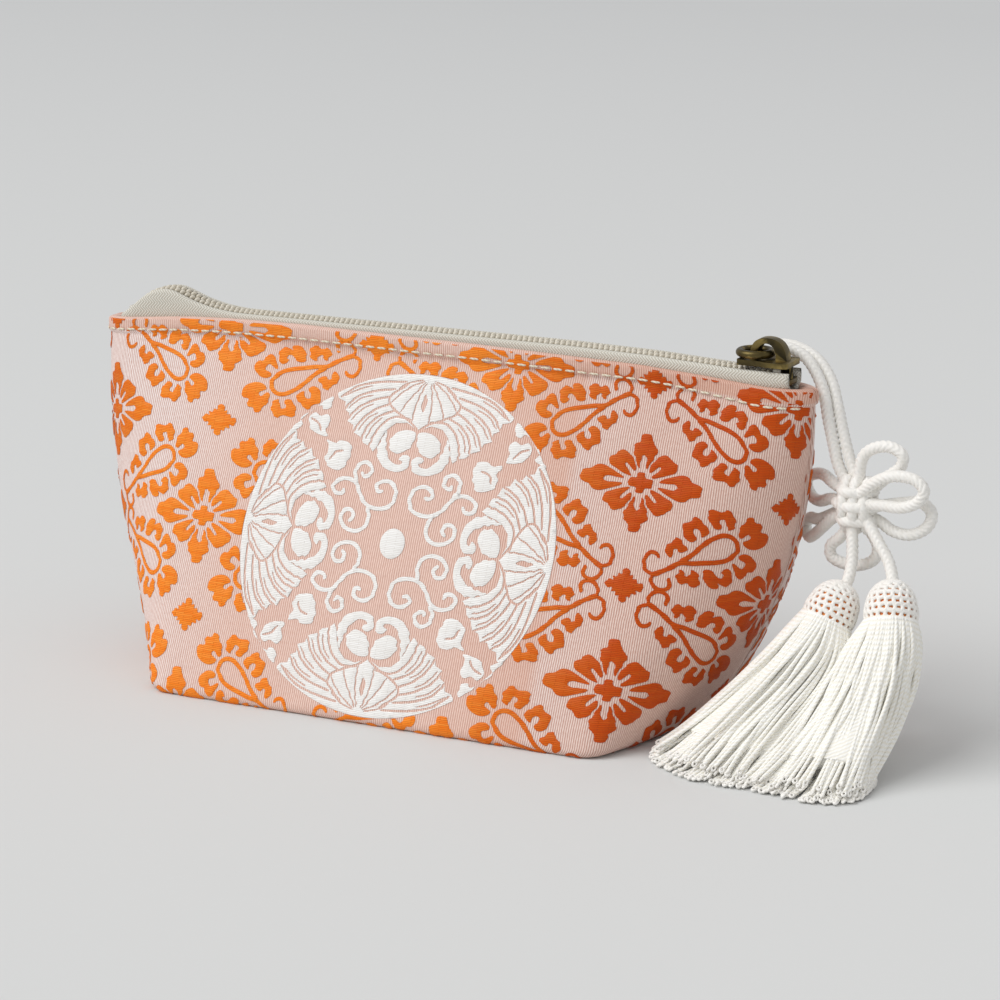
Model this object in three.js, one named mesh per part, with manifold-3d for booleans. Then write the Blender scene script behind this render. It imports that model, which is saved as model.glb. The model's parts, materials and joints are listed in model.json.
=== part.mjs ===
// Zipped brocade pouch: a boat-shaped cloth bag with a humped coil zip along its mouth,
// an antique brass slider with a crown and ring, and a white braided cord that carries
// an ornamental petal knot and two tassels. Millimetres, +X along the mouth, front at -Y,
// +Z up, origin in the middle of the flat base.
import * as THREE from 'three';
import { mergeVertices } from 'three/addons/utils/BufferGeometryUtils.js';
import Module from 'manifold-3d';

const wasm = await Module();
wasm.setup();

// Driving dimensions of the cloth bag
const MOUTH_LENGTH = 200;
const HEIGHT = 86;
const BASE_LENGTH = 126;
const BASE_DEPTH = 92;
const BASE_END_BULGE = 10;
const MOUTH_DEPTH = 14;
const MOUTH_CORNER = 5;
const PANEL_BELLY = 1.5;
const END_CURVE = 2.3;
const BASE_FOLD = 2.6;
const SEAM_GROOVE = 1.2;
const CLOTH_WALL = 2;
const LINING_WALL = 0.8;
const BAND_HEIGHT = 4.2;
const BAND_PROUD = 0.4;
const LINING_TOP_DROP = 9;
const LINING_SLACK = 0.6;

// Zip: a size 5 coil chain between two tapes
const COIL_PITCH = 1.5;
const COIL_WIDTH = 2.7;
const COIL_THICK = 2.5;
const COIL_TOOTH = 0.35;
const COIL_SPLIT = 0.3;
const CHAIN_RISE = 4.4;
const CHAIN_LEFT_INSET = 8.5;
const CHAIN_RIGHT_INSET = 9;
const TAPE_THICK = 0.7;
const TAPE_TUCK = 6;
const TAPE_END_INSET = 5;
const TAPE_STEPS = 32;
const TAPE_SHOULDER = 0.4;
const HUMP_HEIGHT = 4.2;
const HUMP_INSET = 18;
const HUMP_SPREAD = 9;
const END_DROP = 3.2;
const STOP_SIZE = 2.4;
const TOP_STOP_LENGTH = 1.8;
const TOP_STOP_WIDTH = 1.8;

// Slider, crown and ring
const SLIDER_LENGTH = 13.5;
const SLIDER_INSET = 5.3;
const SLIDER_REAR_WIDTH = 8.6;
const SLIDER_NOSE_WIDTH = 9.8;
const PLATE_THICK = 1.3;
const FLANGE_LENGTH = 6;
const FLANGE_THICK = 0.9;
const FLANGE_INSET = 0.3;
const SLIDER_CORNER = 1;
const SHOULDER_LENGTH = 1.5;
const WEDGE_LENGTH = 5;
const WEDGE_WIDTH = 2.6;
const NOSE_TIP = 0.25;
const CROWN_LENGTH = 9.8;
const CROWN_HEIGHT = 5.3;
const CROWN_WIDTH = 3;
const CROWN_SETBACK = 2.4;
const SUNK = 0.3;
const RING_WIRE = 2;
const RING_MEAN_RADIUS = 3.9;
const RING_PIVOT_IN_CROWN = 5;

// Braided cord, knot and tassels
const CORD_DIAMETER = 2.6;
const CORD_SIDES = 8;
const CORD_STEP = 2.4 * CORD_DIAMETER;
const PETAL_STEP = 2 * CORD_DIAMETER;
const KNOT_CENTRE = new THREE.Vector3(111.4, 1.5, 59);
const KNOT_RADII = new THREE.Vector3(5.4, 4.6, 6.5);
const CAP_WALL = 0.8;
const CAP_RADIUS = 6.6;
const CAP_HEIGHT = 10;
const SKIRT_NECK = 6.2;
const SKIRT_HALF_WIDTH = 12.2;
const SKIRT_HALF_THICK = 3;
const SKIRT_STRANDS = 18;
const SKIRT_STEPS = 9;
const STRAND_RELIEF = 0.07;

// Clearance between pieces that touch
const GAP = 0.3;

const COLOURS = {
  brocade: { color: 0xe9a074, roughness: 0.62, metalness: 0 },
  lining: { color: 0xe6d9c8, roughness: 0.8, metalness: 0 },
  tape: { color: 0xdcd9ce, roughness: 0.85, metalness: 0 },
  coil: { color: 0xd6cfc0, roughness: 0.45, metalness: 0 },
  brass: { color: 0x6a603e, roughness: 0.4, metalness: 1 },
  stop: { color: 0xd8d4ca, roughness: 0.3, metalness: 0 },
  cord: { color: 0xf3efe8, roughness: 0.6, metalness: 0 },
  core: { color: 0xd98a5a, roughness: 0.7, metalness: 0 },
};

const pouch = new THREE.Group();

function addMesh(name, geometry, colour) {
  const mesh = new THREE.Mesh(geometry, new THREE.MeshStandardMaterial(COLOURS[colour]));
  mesh.name = name;
  pouch.add(mesh);
}

const mix = THREE.MathUtils.lerp;
const vec = (x, y, z) => new THREE.Vector3(x, y, z);

// Closed solid from a list of rings that run one way round the direction of travel
function loft(rings) {
  const count = rings[0].length;
  const positions = [];
  const index = [];
  for (const ring of rings) {
    for (const p of ring) positions.push(p.x, p.y, p.z);
  }
  for (let i = 0; i < rings.length - 1; i += 1) {
    for (let j = 0; j < count; j += 1) {
      const next = (j + 1) % count;
      const a = i * count + j;
      const b = i * count + next;
      index.push(a, b, b + count, a, b + count, a + count);
    }
  }
  const centreOf = (ring) => ring.reduce((sum, p) => sum.add(p), vec(0, 0, 0)).divideScalar(count);
  const last = (rings.length - 1) * count;
  const foot = rings.length * count;
  for (const centre of [centreOf(rings[0]), centreOf(rings[rings.length - 1])]) {
    positions.push(centre.x, centre.y, centre.z);
  }
  for (let j = 0; j < count; j += 1) {
    const next = (j + 1) % count;
    index.push(foot, next, j);
    index.push(foot + 1, last + j, last + next);
  }
  const geometry = new THREE.BufferGeometry();
  geometry.setAttribute('position', new THREE.Float32BufferAttribute(positions, 3));
  geometry.setIndex(index);
  geometry.computeVertexNormals();
  return geometry;
}

// Joins and cuts
function toSolid(geometry) {
  const bare = geometry.clone();
  bare.deleteAttribute('normal');
  bare.deleteAttribute('uv');
  const merged = mergeVertices(bare, 1e-4);
  return new wasm.Manifold(new wasm.Mesh({
    numProp: 3,
    vertProperties: new Float32Array(merged.attributes.position.array),
    triVerts: new Uint32Array(merged.index.array),
  }));
}

function fromSolid(solid) {
  const mesh = solid.getMesh();
  const geometry = new THREE.BufferGeometry();
  geometry.setAttribute('position', new THREE.BufferAttribute(new Float32Array(mesh.vertProperties), 3));
  geometry.setIndex(new THREE.BufferAttribute(new Uint32Array(mesh.triVerts), 1));
  geometry.computeVertexNormals();
  return geometry;
}

function join(geometries) {
  return fromSolid(geometries.map(toSolid).reduce((sum, solid) => sum.add(solid)));
}

function cut(geometry, tools) {
  return fromSolid(tools.map(toSolid).reduce((rest, tool) => rest.subtract(tool), toSolid(geometry)));
}

// Cloth bag: one quarter of its outline at a height, from the middle of the panel
// round the soft corner to the side seam
const FRONT_STEPS = 6;
const CORNER_STEPS = 4;
const END_STEPS = 4;
const SHELL_STEPS = 8;
const LINING_STEPS = 5;

function quarterOutline(z, inset) {
  const h = THREE.MathUtils.clamp(z / HEIGHT, 0, 1);
  const depth = mix(BASE_DEPTH, MOUTH_DEPTH, h) / 2 + PANEL_BELLY * Math.sin(Math.PI * h) - inset;
  const baseEnd = BASE_LENGTH / 2 + BASE_END_BULGE;
  const end = MOUTH_LENGTH / 2 - (MOUTH_LENGTH / 2 - baseEnd) * (1 - h) ** END_CURVE - 1.5 * inset;
  const corner = new THREE.Vector2(
    mix(BASE_LENGTH / 2, MOUTH_LENGTH / 2 - MOUTH_CORNER, h) - inset,
    depth * mix(1, 0.8, h),
  );
  const round = mix(0.1, 0.32, Math.sin(Math.PI * h)) * BASE_DEPTH / 2;
  const middle = new THREE.Vector2(0, depth);
  const endAim = new THREE.Vector2(end, corner.y * 0.4);
  const before = corner.clone().add(middle.clone().sub(corner).setLength(round));
  const after = corner.clone().lerp(endAim, Math.min(0.6, round / corner.distanceTo(endAim)));
  const front = new THREE.LineCurve(middle, before).getPoints(FRONT_STEPS);
  const turn = new THREE.QuadraticBezierCurve(before, corner, after).getPoints(CORNER_STEPS);
  const seamLip = new THREE.Vector2(end, Math.min(0.8, corner.y * 0.15));
  const side = new THREE.QuadraticBezierCurve(after, endAim, seamLip).getPoints(END_STEPS);
  return [...front, ...turn.slice(1), ...side.slice(1), new THREE.Vector2(end - SEAM_GROOVE, 0)];
}

function bagRing({ z, inset }) {
  const quarter = quarterOutline(z, inset);
  const back = quarter.slice(0, -1).reverse();
  const right = [...quarter.map((p) => vec(p.x, -p.y, z)), ...back.map((p) => vec(p.x, p.y, z))];
  const left = right.slice(1, -1).map((p) => vec(-p.x, -p.y, z));
  return [...right, ...left];
}

// Depth of a bag surface in front of the middle plane at a place along the mouth
function depthAt(x, z, inset) {
  const quarter = quarterOutline(z, inset);
  const far = quarter.findIndex((p, i) => i > 0 && p.x >= Math.abs(x));
  if (far < 1) return 0;
  const [a, b] = [quarter[far - 1], quarter[far]];
  return mix(a.y, b.y, (Math.abs(x) - a.x) / (b.x - a.x));
}

function evenSteps(low, high, steps) {
  return Array.from({ length: steps + 1 }, (_, i) => mix(low, high, i / steps));
}

// The floor of a wall stands on the base fold, and its rim is rounded over
function bagRows(outer, inner, foot, rim, proud, steps) {
  const band = rim - BAND_HEIGHT;
  const floor = foot + inner - outer;
  const outside = [
    { z: foot, inset: outer + BASE_FOLD },
    { z: foot + 0.3 * BASE_FOLD, inset: outer + 0.3 * BASE_FOLD },
    ...evenSteps(foot + BASE_FOLD, band, steps).map((z) => ({ z, inset: outer })),
    { z: band + BAND_PROUD, inset: outer - proud },
    { z: rim - BAND_PROUD, inset: outer - proud },
    { z: rim, inset: mix(outer, inner, 0.25) },
  ];
  const inside = [
    { z: rim, inset: mix(outer, inner, 0.75) },
    ...evenSteps(rim - BAND_PROUD, floor + BASE_FOLD, steps - 2).map((z) => ({ z, inset: inner })),
    { z: floor, inset: inner + 0.6 * BASE_FOLD },
  ];
  return [...outside, ...inside];
}

const shellRows = bagRows(0, CLOTH_WALL, 0, HEIGHT, BAND_PROUD, SHELL_STEPS);
addMesh('brocade_shell', loft(shellRows.map(bagRing)), 'brocade');

const liningOuter = CLOTH_WALL + LINING_SLACK;
const liningRim = HEIGHT - LINING_TOP_DROP;
const liningRows = bagRows(liningOuter, liningOuter + LINING_WALL, liningOuter, liningRim, 0, LINING_STEPS);
addMesh('lining', loft(liningRows.map(bagRing)), 'lining');

// Zip chain: its height along the mouth, with the hump near the closed end
const CHAIN_Z = HEIGHT + CHAIN_RISE;
const humpX = -MOUTH_LENGTH / 2 + HUMP_INSET;
const chainLeft = -MOUTH_LENGTH / 2 + CHAIN_LEFT_INSET;
const chainRight = MOUTH_LENGTH / 2 - CHAIN_RIGHT_INSET;
const coilTurns = Math.floor((chainRight - chainLeft) / COIL_PITCH);
const coilEnd = chainLeft + coilTurns * COIL_PITCH;
const tapeEnd = MOUTH_LENGTH / 2 - TAPE_END_INSET;
const sliderNose = MOUTH_LENGTH / 2 - SLIDER_INSET;
const sliderRear = sliderNose - SLIDER_LENGTH;

function chainHeight(x) {
  const hump = HUMP_HEIGHT * Math.exp(-(((x - humpX) / HUMP_SPREAD) ** 2));
  const drop = END_DROP * THREE.MathUtils.smoothstep(-x, -humpX + 0.5 * HUMP_SPREAD, MOUTH_LENGTH / 2);
  return CHAIN_Z + hump - drop;
}

// Behind the slider's nose the two halves of the chain part round its wedge
function coilCentre(x) {
  const parting = THREE.MathUtils.smoothstep(x, sliderNose - WEDGE_LENGTH - 2, sliderNose - 1);
  return COIL_SPLIT / 2 + COIL_WIDTH / 2 + (WEDGE_WIDTH / 2) * parting;
}

// Tape: from its tuck inside the mouth, up past the slider's lower plate and in to the coil
const tapeHalfGap = (MOUTH_DEPTH / 2 - CLOTH_WALL) - 2 * GAP;

function tapeFace(x) {
  return Math.max(TAPE_THICK + 2 * GAP, depthAt(x, HEIGHT, CLOTH_WALL) - GAP);
}

function tapeSection(x, side) {
  const outer = tapeFace(x);
  const tuck = Math.min(outer, depthAt(x, HEIGHT - TAPE_TUCK, CLOTH_WALL) - GAP);
  const rise = chainHeight(x);
  const top = rise + TAPE_THICK / 2;
  const flare = Math.max(rise - COIL_THICK - GAP, HEIGHT + 4 * GAP);
  const edge = Math.min(coilCentre(x) + COIL_WIDTH / 2 + GAP, tapeHalfGap - TAPE_SHOULDER / 2);
  const outside = [
    [tuck, HEIGHT - TAPE_TUCK], [outer, HEIGHT], [tapeHalfGap, flare],
    [tapeHalfGap, top - TAPE_SHOULDER], [tapeHalfGap - TAPE_SHOULDER, top], [edge, top],
  ];
  const inside = [
    [edge, top - TAPE_THICK], [tapeHalfGap - TAPE_THICK, top - TAPE_THICK],
    [tapeHalfGap - TAPE_THICK, flare + TAPE_SHOULDER / 2],
    [outer - TAPE_THICK, HEIGHT + TAPE_SHOULDER / 2], [tuck - TAPE_THICK, HEIGHT - TAPE_TUCK],
  ];
  const points = [...outside, ...inside].map(([y, z]) => vec(x, side * y, z));
  return side > 0 ? points : points.reverse();
}

const tapeStations = evenSteps(-tapeEnd, tapeEnd, TAPE_STEPS);

// Coil: one ridge for each turn of the monofilament
function coilRing(x, side, swell) {
  const y = coilCentre(x);
  const z = chainHeight(x);
  const w = COIL_WIDTH / 2 - (swell ? 0 : COIL_TOOTH);
  const t = COIL_THICK / 2 - (swell ? 0 : COIL_TOOTH);
  const loop = [[-w, -0.7 * t], [w, -0.7 * t], [0.6 * w, t], [-0.6 * w, t]];
  const ring = loop.map(([dy, dz]) => vec(x, side * (y + dy), z + dz));
  return side > 0 ? ring : ring.reverse();
}

for (const [half, side] of [['front', -1], ['back', 1]]) {
  addMesh(`zip_tape_${half}`, loft(tapeStations.map((x) => tapeSection(x, side))), 'tape');
  const coilRings = [];
  for (let i = 0; i <= 2 * coilTurns; i += 1) {
    coilRings.push(coilRing(chainLeft + (i * COIL_PITCH) / 2, side, i % 2 === 1));
  }
  addMesh(`zip_coil_${half}`, loft(coilRings), 'coil');
}

// Stops: a crimp over the closed end, and one on each half at the slider's end
const stopX = chainLeft - GAP - STOP_SIZE / 2;
const stopWidth = 2 * (tapeFace(stopX - STOP_SIZE / 2) - TAPE_THICK - GAP);
const endStop = new THREE.BoxGeometry(STOP_SIZE, stopWidth, COIL_THICK);
endStop.translate(stopX, 0, chainHeight(stopX));
addMesh('closed_end_stop', endStop, 'stop');
for (const [half, side] of [['front', -1], ['back', 1]]) {
  const x = coilEnd + GAP + TOP_STOP_LENGTH / 2;
  const stop = new THREE.BoxGeometry(TOP_STOP_LENGTH, TOP_STOP_WIDTH, COIL_THICK - GAP);
  stop.translate(x, side * (coilCentre(x) + COIL_SPLIT / 3), chainHeight(x));
  addMesh(`top_stop_${half}`, stop, 'stop');
}

// Slider body: two plates joined by the wedge at the nose, with flanges that hold the coils
const channelTop = CHAIN_Z + COIL_THICK / 2 + GAP;
const channelFoot = CHAIN_Z - COIL_THICK / 2 - GAP;
const plateTop = channelTop + PLATE_THICK;

function sliderPlate(foot, rear, nose) {
  const outline = new THREE.Shape();
  const shoulder = sliderRear + FLANGE_LENGTH;
  outline.moveTo(sliderRear, -rear + SLIDER_CORNER);
  outline.quadraticCurveTo(sliderRear, -rear, sliderRear + SLIDER_CORNER, -rear);
  outline.lineTo(shoulder, -rear);
  outline.lineTo(shoulder + SHOULDER_LENGTH, -nose);
  outline.lineTo(sliderNose - SHOULDER_LENGTH, -nose);
  outline.quadraticCurveTo(sliderNose, -nose, sliderNose, -nose + SHOULDER_LENGTH);
  outline.lineTo(sliderNose, nose - SHOULDER_LENGTH);
  outline.quadraticCurveTo(sliderNose, nose, sliderNose - SHOULDER_LENGTH, nose);
  outline.lineTo(shoulder + SHOULDER_LENGTH, nose);
  outline.lineTo(shoulder, rear);
  outline.lineTo(sliderRear + SLIDER_CORNER, rear);
  outline.quadraticCurveTo(sliderRear, rear, sliderRear, rear - SLIDER_CORNER);
  const options = { depth: PLATE_THICK, bevelEnabled: false, curveSegments: 4 };
  return new THREE.ExtrudeGeometry(outline, options).translate(0, 0, foot);
}

// A flange runs down from the top plate's edge, set in from it by JOIN_STEP so that no two
// faces of the joined solids lie in one plane
const JOIN_STEP = 0.01;

function sliderFlange(side, foot, height) {
  const flange = new THREE.BoxGeometry(FLANGE_LENGTH - 2 * FLANGE_INSET, FLANGE_THICK, height);
  const y = side * (SLIDER_REAR_WIDTH / 2 - FLANGE_THICK / 2 - JOIN_STEP);
  return flange.translate(sliderRear + FLANGE_LENGTH / 2, y, foot + height / 2);
}

function sliderWedge() {
  const plan = new THREE.Shape();
  plan.moveTo(sliderNose - WEDGE_LENGTH, 0);
  plan.lineTo(sliderNose - 3 * NOSE_TIP, -WEDGE_WIDTH / 2 + GAP);
  plan.lineTo(sliderNose - NOSE_TIP, 0);
  plan.lineTo(sliderNose - 3 * NOSE_TIP, WEDGE_WIDTH / 2 - GAP);
  const wedge = new THREE.ExtrudeGeometry(plan, { depth: plateTop - channelFoot, bevelEnabled: false });
  return wedge.translate(0, 0, channelFoot - PLATE_THICK / 2);
}

// Crown: the arch on top that the ring hangs in, wider in its nose leg than in its rear one
const crownRear = sliderRear + CROWN_SETBACK;

function sliderCrown() {
  const [l, h] = [CROWN_LENGTH, CROWN_HEIGHT];
  const foot = -SUNK;
  const side = new THREE.Shape();
  side.moveTo(0, foot);
  side.lineTo(0.01 * l, 0.19 * h);
  side.bezierCurveTo(0.04 * l, 0.83 * h, 0.24 * l, h, 0.47 * l, h);
  side.bezierCurveTo(0.78 * l, h, 0.97 * l, 0.7 * h, l, foot);
  side.lineTo(0.7 * l, foot);
  side.bezierCurveTo(0.71 * l, 0.42 * h, 0.64 * l, 0.72 * h, 0.45 * l, 0.74 * h);
  side.bezierCurveTo(0.29 * l, 0.74 * h, 0.2 * l, 0.5 * h, 0.19 * l, foot);
  const options = { depth: CROWN_WIDTH, bevelEnabled: false, curveSegments: 8 };
  const crown = new THREE.ExtrudeGeometry(side, options);
  return crown.rotateX(Math.PI / 2).translate(crownRear, CROWN_WIDTH / 2, plateTop);
}

const flangeDrop = COIL_THICK / 2 - TAPE_THICK / 2;
const lowerPlateHalf = tapeHalfGap - TAPE_THICK - GAP;
addMesh('slider_body', join([
  sliderPlate(channelTop, SLIDER_REAR_WIDTH / 2, SLIDER_NOSE_WIDTH / 2),
  sliderPlate(channelFoot - PLATE_THICK, lowerPlateHalf, lowerPlateHalf),
  sliderFlange(-1, channelTop - flangeDrop, flangeDrop + SUNK),
  sliderFlange(1, channelTop - flangeDrop, flangeDrop + SUNK),
  sliderWedge(),
  sliderCrown(),
]), 'brass');

// Ring: lies round the crown's rear leg, and turns about its wire inside the arch
const ringPivot = vec(crownRear + RING_PIVOT_IN_CROWN, 0, plateTop + GAP + RING_WIRE / 2);
const ring = new THREE.TorusGeometry(RING_MEAN_RADIUS, RING_WIRE / 2, 8, 24);
ring.translate(ringPivot.x - RING_MEAN_RADIUS, 0, ringPivot.z);
addMesh('pull_ring', ring, 'brass');

// Braided cord: a tube along a hand-laid route
function roundShape(radius, sides) {
  const shape = new THREE.Shape();
  for (let i = 0; i < sides; i += 1) {
    const angle = (i * 2 * Math.PI) / sides;
    shape[i ? 'lineTo' : 'moveTo'](radius * Math.cos(angle), radius * Math.sin(angle));
  }
  return shape;
}

function cordTube(route, step) {
  const curve = new THREE.CatmullRomCurve3(route.map((p) => vec(...p)), false, 'centripetal');
  const steps = Math.max(3, Math.round(curve.getLength() / step));
  const shape = roundShape(CORD_DIAMETER / 2, CORD_SIDES);
  return new THREE.ExtrudeGeometry(shape, { steps, bevelEnabled: false, extrudePath: curve });
}

function ellipsoid(radii, centre, grow = 0) {
  const ball = new THREE.SphereGeometry(1, 16, 12).rotateX(Math.PI / 2);
  ball.scale(radii.x + grow, radii.y + grow, radii.z + grow);
  return ball.translate(centre.x, centre.y, centre.z);
}

addMesh('knot', ellipsoid(KNOT_RADII, KNOT_CENTRE), 'cord');
const knotSeat = ellipsoid(KNOT_RADII, KNOT_CENTRE, GAP);

// The two runs of the cord from the ring over the corner of the mouth and down to the knot
const HANGING_RUNS = {
  cord_run_left: [
    [86.4, 6.7, 95.2], [90.5, 7.2, 94.7], [94.8, 7.3, 92.8], [98.3, 6.3, 89], [100.7, 5.2, 84.6],
    [102.3, 4, 79], [104.1, 3.3, 73], [105.6, 3, 68], [107.6, 2.7, 64.2], [109.5, 2.5, 61.5],
  ],
  cord_run_right: [
    [86.4, 9.7, 95], [91, 10.3, 94.6], [96.6, 10.1, 92.2], [101, 8.7, 87.6], [103.6, 6.8, 82],
    [105.8, 5.1, 76], [107.9, 3.8, 70.6], [110, 2.9, 66], [111.4, 2.5, 62.5],
  ],
};

// Petals of the knot, each a loop that leaves the knot and comes back to it
const PETALS = {
  petal_left_upper: [
    [109, 3, 61], [104, 4.6, 62.8], [100.6, 7.4, 63.8], [96.6, 11.8, 62.8], [93.2, 15.4, 60.6],
    [92.6, 16.4, 58.2], [94, 15.6, 56.2], [97.6, 11.8, 56], [103, 6.4, 58.4], [109, 3.6, 59.2],
  ],
  petal_left_lower: [
    [109, 3, 56], [104.3, 4.4, 54.2], [101, 6.4, 51.2], [97, 10.4, 47.6], [94.2, 14, 46],
    [92.6, 16.2, 47.8], [94, 15, 50.4], [98.4, 10.2, 51.8], [103.2, 8.2, 54.4], [108, 5.6, 57],
  ],
  petal_top: [
    [112.5, 1, 62], [111.9, 1, 67.6], [113, 1, 71.6], [116, 0.8, 73.8], [119.8, 0.6, 74.3],
    [122.8, 0.6, 72.6], [122.4, 0.8, 69.8], [119, 1, 66.8], [114, 1.2, 62],
  ],
  petal_right: [
    [113, -1.5, 62.5], [116.5, -2.6, 65.6], [120, -3, 67.6], [124, -3.2, 68.4], [128, -3.2, 67.6],
    [129.8, -3.2, 65.4], [128.4, -3, 62.6], [124.4, -2.6, 60.6], [119, -2, 60.4], [113, -1.2, 60.2],
  ],
  petal_right_lower: [
    [113, 1.8, 58.5], [118.4, 1.6, 59.6], [123.4, 1.2, 60.8], [127.9, 0.8, 61.4], [130.6, 0.6, 59.2],
    [129.8, 0.6, 55.8], [125.6, 0.8, 53.2], [120.8, 1.3, 53.4], [117, 1.7, 55.4], [113, 2, 56.5],
  ],
  petal_bottom: [
    [110.4, 2.2, 54.4], [106.8, 2.4, 50], [104.3, 2.8, 47.4], [104.6, 2.8, 44.8], [107.8, 2.8, 43.4],
    [112.2, 2.8, 43.5], [115.8, 2.8, 45.6], [116.4, 2.8, 48.8], [114.6, 3, 52], [112.5, 3.6, 55],
  ],
};

for (const [name, route] of Object.entries(HANGING_RUNS)) {
  addMesh(name, cut(cordTube(route, CORD_STEP), [knotSeat]), 'cord');
}
for (const [name, route] of Object.entries(PETALS)) {
  addMesh(name, cut(cordTube(route, PETAL_STEP), [knotSeat]), 'cord');
}

// Tassels: a netted cap over a wound core, and a skirt that lies forward onto the table
const TASSELS = {
  left: {
    drop: [[110.8, -1, 56], [111.6, -1.9, 50], [112.1, -3.4, 45.6], [112, -5.6, 41.6]],
    top: vec(111.7, -6.4, 41.1),
    base: vec(108.9, -11, 32.6),
    skirt: [[105, -19, 21.5], [99, -30.6, 10.2], [89.8, -44.2, 3.7]],
  },
  right: {
    drop: [[114, -1.2, 56.5], [118.2, -2.4, 51.6], [121.6, -3.8, 47.2], [123.5, -5.8, 43.4]],
    top: vec(123.6, -6.4, 43),
    base: vec(125.2, -11, 34.4),
    skirt: [[125.4, -20, 21.8], [121, -32, 10.8], [116.6, -46.6, 3.7]],
  },
};

function capProfile(grow) {
  const r = CAP_RADIUS + grow;
  return [[0, CAP_HEIGHT + grow], [0.45 * r, CAP_HEIGHT - 0.6 + grow], [0.8 * r, 0.72 * CAP_HEIGHT + grow],
    [0.98 * r, 0.42 * CAP_HEIGHT], [r, 0.2 * CAP_HEIGHT], [0.96 * r, 0]];
}

function placeOnAxis(geometry, base, top) {
  const turn = new THREE.Quaternion().setFromUnitVectors(vec(0, 1, 0), top.clone().sub(base).normalize());
  return geometry.applyQuaternion(turn).translate(base.x, base.y, base.z);
}

function lathe(profile) {
  return new THREE.LatheGeometry(profile.map(([r, y]) => new THREE.Vector2(r, y)), 16);
}

function capShell() {
  const outside = capProfile(0);
  const inside = capProfile(-CAP_WALL);
  return lathe([...inside, ...outside.reverse()]);
}

function capCore() {
  const outside = capProfile(-CAP_WALL - GAP);
  return lathe([[0, 0], ...outside.reverse()]);
}

function tasselSkirt({ top, base, skirt }) {
  const axis = base.clone().sub(top).normalize();
  const neck = [1.5 * GAP, 0.5 * CAP_HEIGHT].map((d) => base.clone().addScaledVector(axis, d));
  const curve = new THREE.CatmullRomCurve3([...neck, ...skirt.map((p) => vec(...p))]);
  const rings = [];
  for (let i = 0; i <= SKIRT_STEPS; i += 1) {
    const u = i / SKIRT_STEPS;
    const centre = curve.getPoint(u);
    const along = curve.getTangent(u);
    const across = vec(0, 0, 1).cross(along).normalize();
    const thick = along.clone().cross(across);
    const spread = THREE.MathUtils.smoothstep(u, 0.05, 1);
    const halfWidth = mix(SKIRT_NECK, SKIRT_HALF_WIDTH, spread);
    const halfThick = mix(SKIRT_NECK, SKIRT_HALF_THICK, spread);
    const ring = [];
    for (let k = 0; k < 2 * SKIRT_STRANDS; k += 1) {
      const angle = (k * Math.PI) / SKIRT_STRANDS;
      const relief = 1 + (k % 2 ? -STRAND_RELIEF : 0);
      const w = halfWidth * relief * Math.cos(angle);
      const t = halfThick * relief * Math.sin(angle);
      ring.push(centre.clone().addScaledVector(across, w).addScaledVector(thick, t));
    }
    rings.push(ring);
  }
  return loft(rings);
}

for (const [side, tassel] of Object.entries(TASSELS)) {
  const seat = placeOnAxis(lathe([[0, 0], ...capProfile(GAP).reverse()]), tassel.base, tassel.top);
  addMesh(`drop_cord_${side}`, cut(cordTube(tassel.drop, CORD_STEP), [knotSeat, seat]), 'cord');
  addMesh(`tassel_cap_${side}`, placeOnAxis(capShell(), tassel.base, tassel.top), 'cord');
  addMesh(`tassel_core_${side}`, placeOnAxis(capCore(), tassel.base, tassel.top), 'core');
  addMesh(`tassel_skirt_${side}`, tasselSkirt(tassel), 'cord');
}

export default pouch;
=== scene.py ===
# Zipped brocade pouch with a braided cord charm, dressed over its CAD frame.
# Lengths here are in millimetres; a mesh is turned into metres when it is made.
import json
import math
import random

import bmesh
import bpy
import numpy as np
from mathutils import Matrix, Vector
from mathutils.geometry import delaunay_2d_cdt

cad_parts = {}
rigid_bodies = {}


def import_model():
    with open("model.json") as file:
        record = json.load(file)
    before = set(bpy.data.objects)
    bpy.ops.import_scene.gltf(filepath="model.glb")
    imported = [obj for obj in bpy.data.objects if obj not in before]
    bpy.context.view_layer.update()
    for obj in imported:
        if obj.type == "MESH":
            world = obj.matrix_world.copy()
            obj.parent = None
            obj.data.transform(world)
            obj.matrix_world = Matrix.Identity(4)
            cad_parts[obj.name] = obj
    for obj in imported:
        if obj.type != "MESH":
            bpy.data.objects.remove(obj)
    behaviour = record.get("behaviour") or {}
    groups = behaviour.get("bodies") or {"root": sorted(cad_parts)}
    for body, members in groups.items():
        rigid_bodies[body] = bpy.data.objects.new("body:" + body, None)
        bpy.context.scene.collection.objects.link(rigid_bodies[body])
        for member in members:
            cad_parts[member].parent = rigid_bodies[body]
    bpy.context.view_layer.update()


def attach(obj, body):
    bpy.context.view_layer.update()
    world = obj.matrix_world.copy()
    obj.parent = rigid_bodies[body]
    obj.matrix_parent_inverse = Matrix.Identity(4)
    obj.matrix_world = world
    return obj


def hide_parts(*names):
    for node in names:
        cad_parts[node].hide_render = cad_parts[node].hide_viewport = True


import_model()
scene = bpy.context.scene
scene.view_settings.view_transform = "Standard"

# Camera: it stands in front of the pouch's right-hand end and looks a little down on it,
# through the long lens of a product photograph.
studio_lens = bpy.data.cameras.new("studio_camera")
studio_lens.sensor_width = 36
studio_lens.lens = 118.73
camera = bpy.data.objects.new("studio_camera", studio_lens)
camera.location = (0.3781, -0.7318, 0.2582)
look_at = Vector((0.01225, 0.00607, 0.04778))
camera.rotation_euler = (look_at - camera.location).to_track_quat("-Z", "Y").to_euler()
scene.collection.objects.link(camera)
scene.camera = camera

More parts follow.
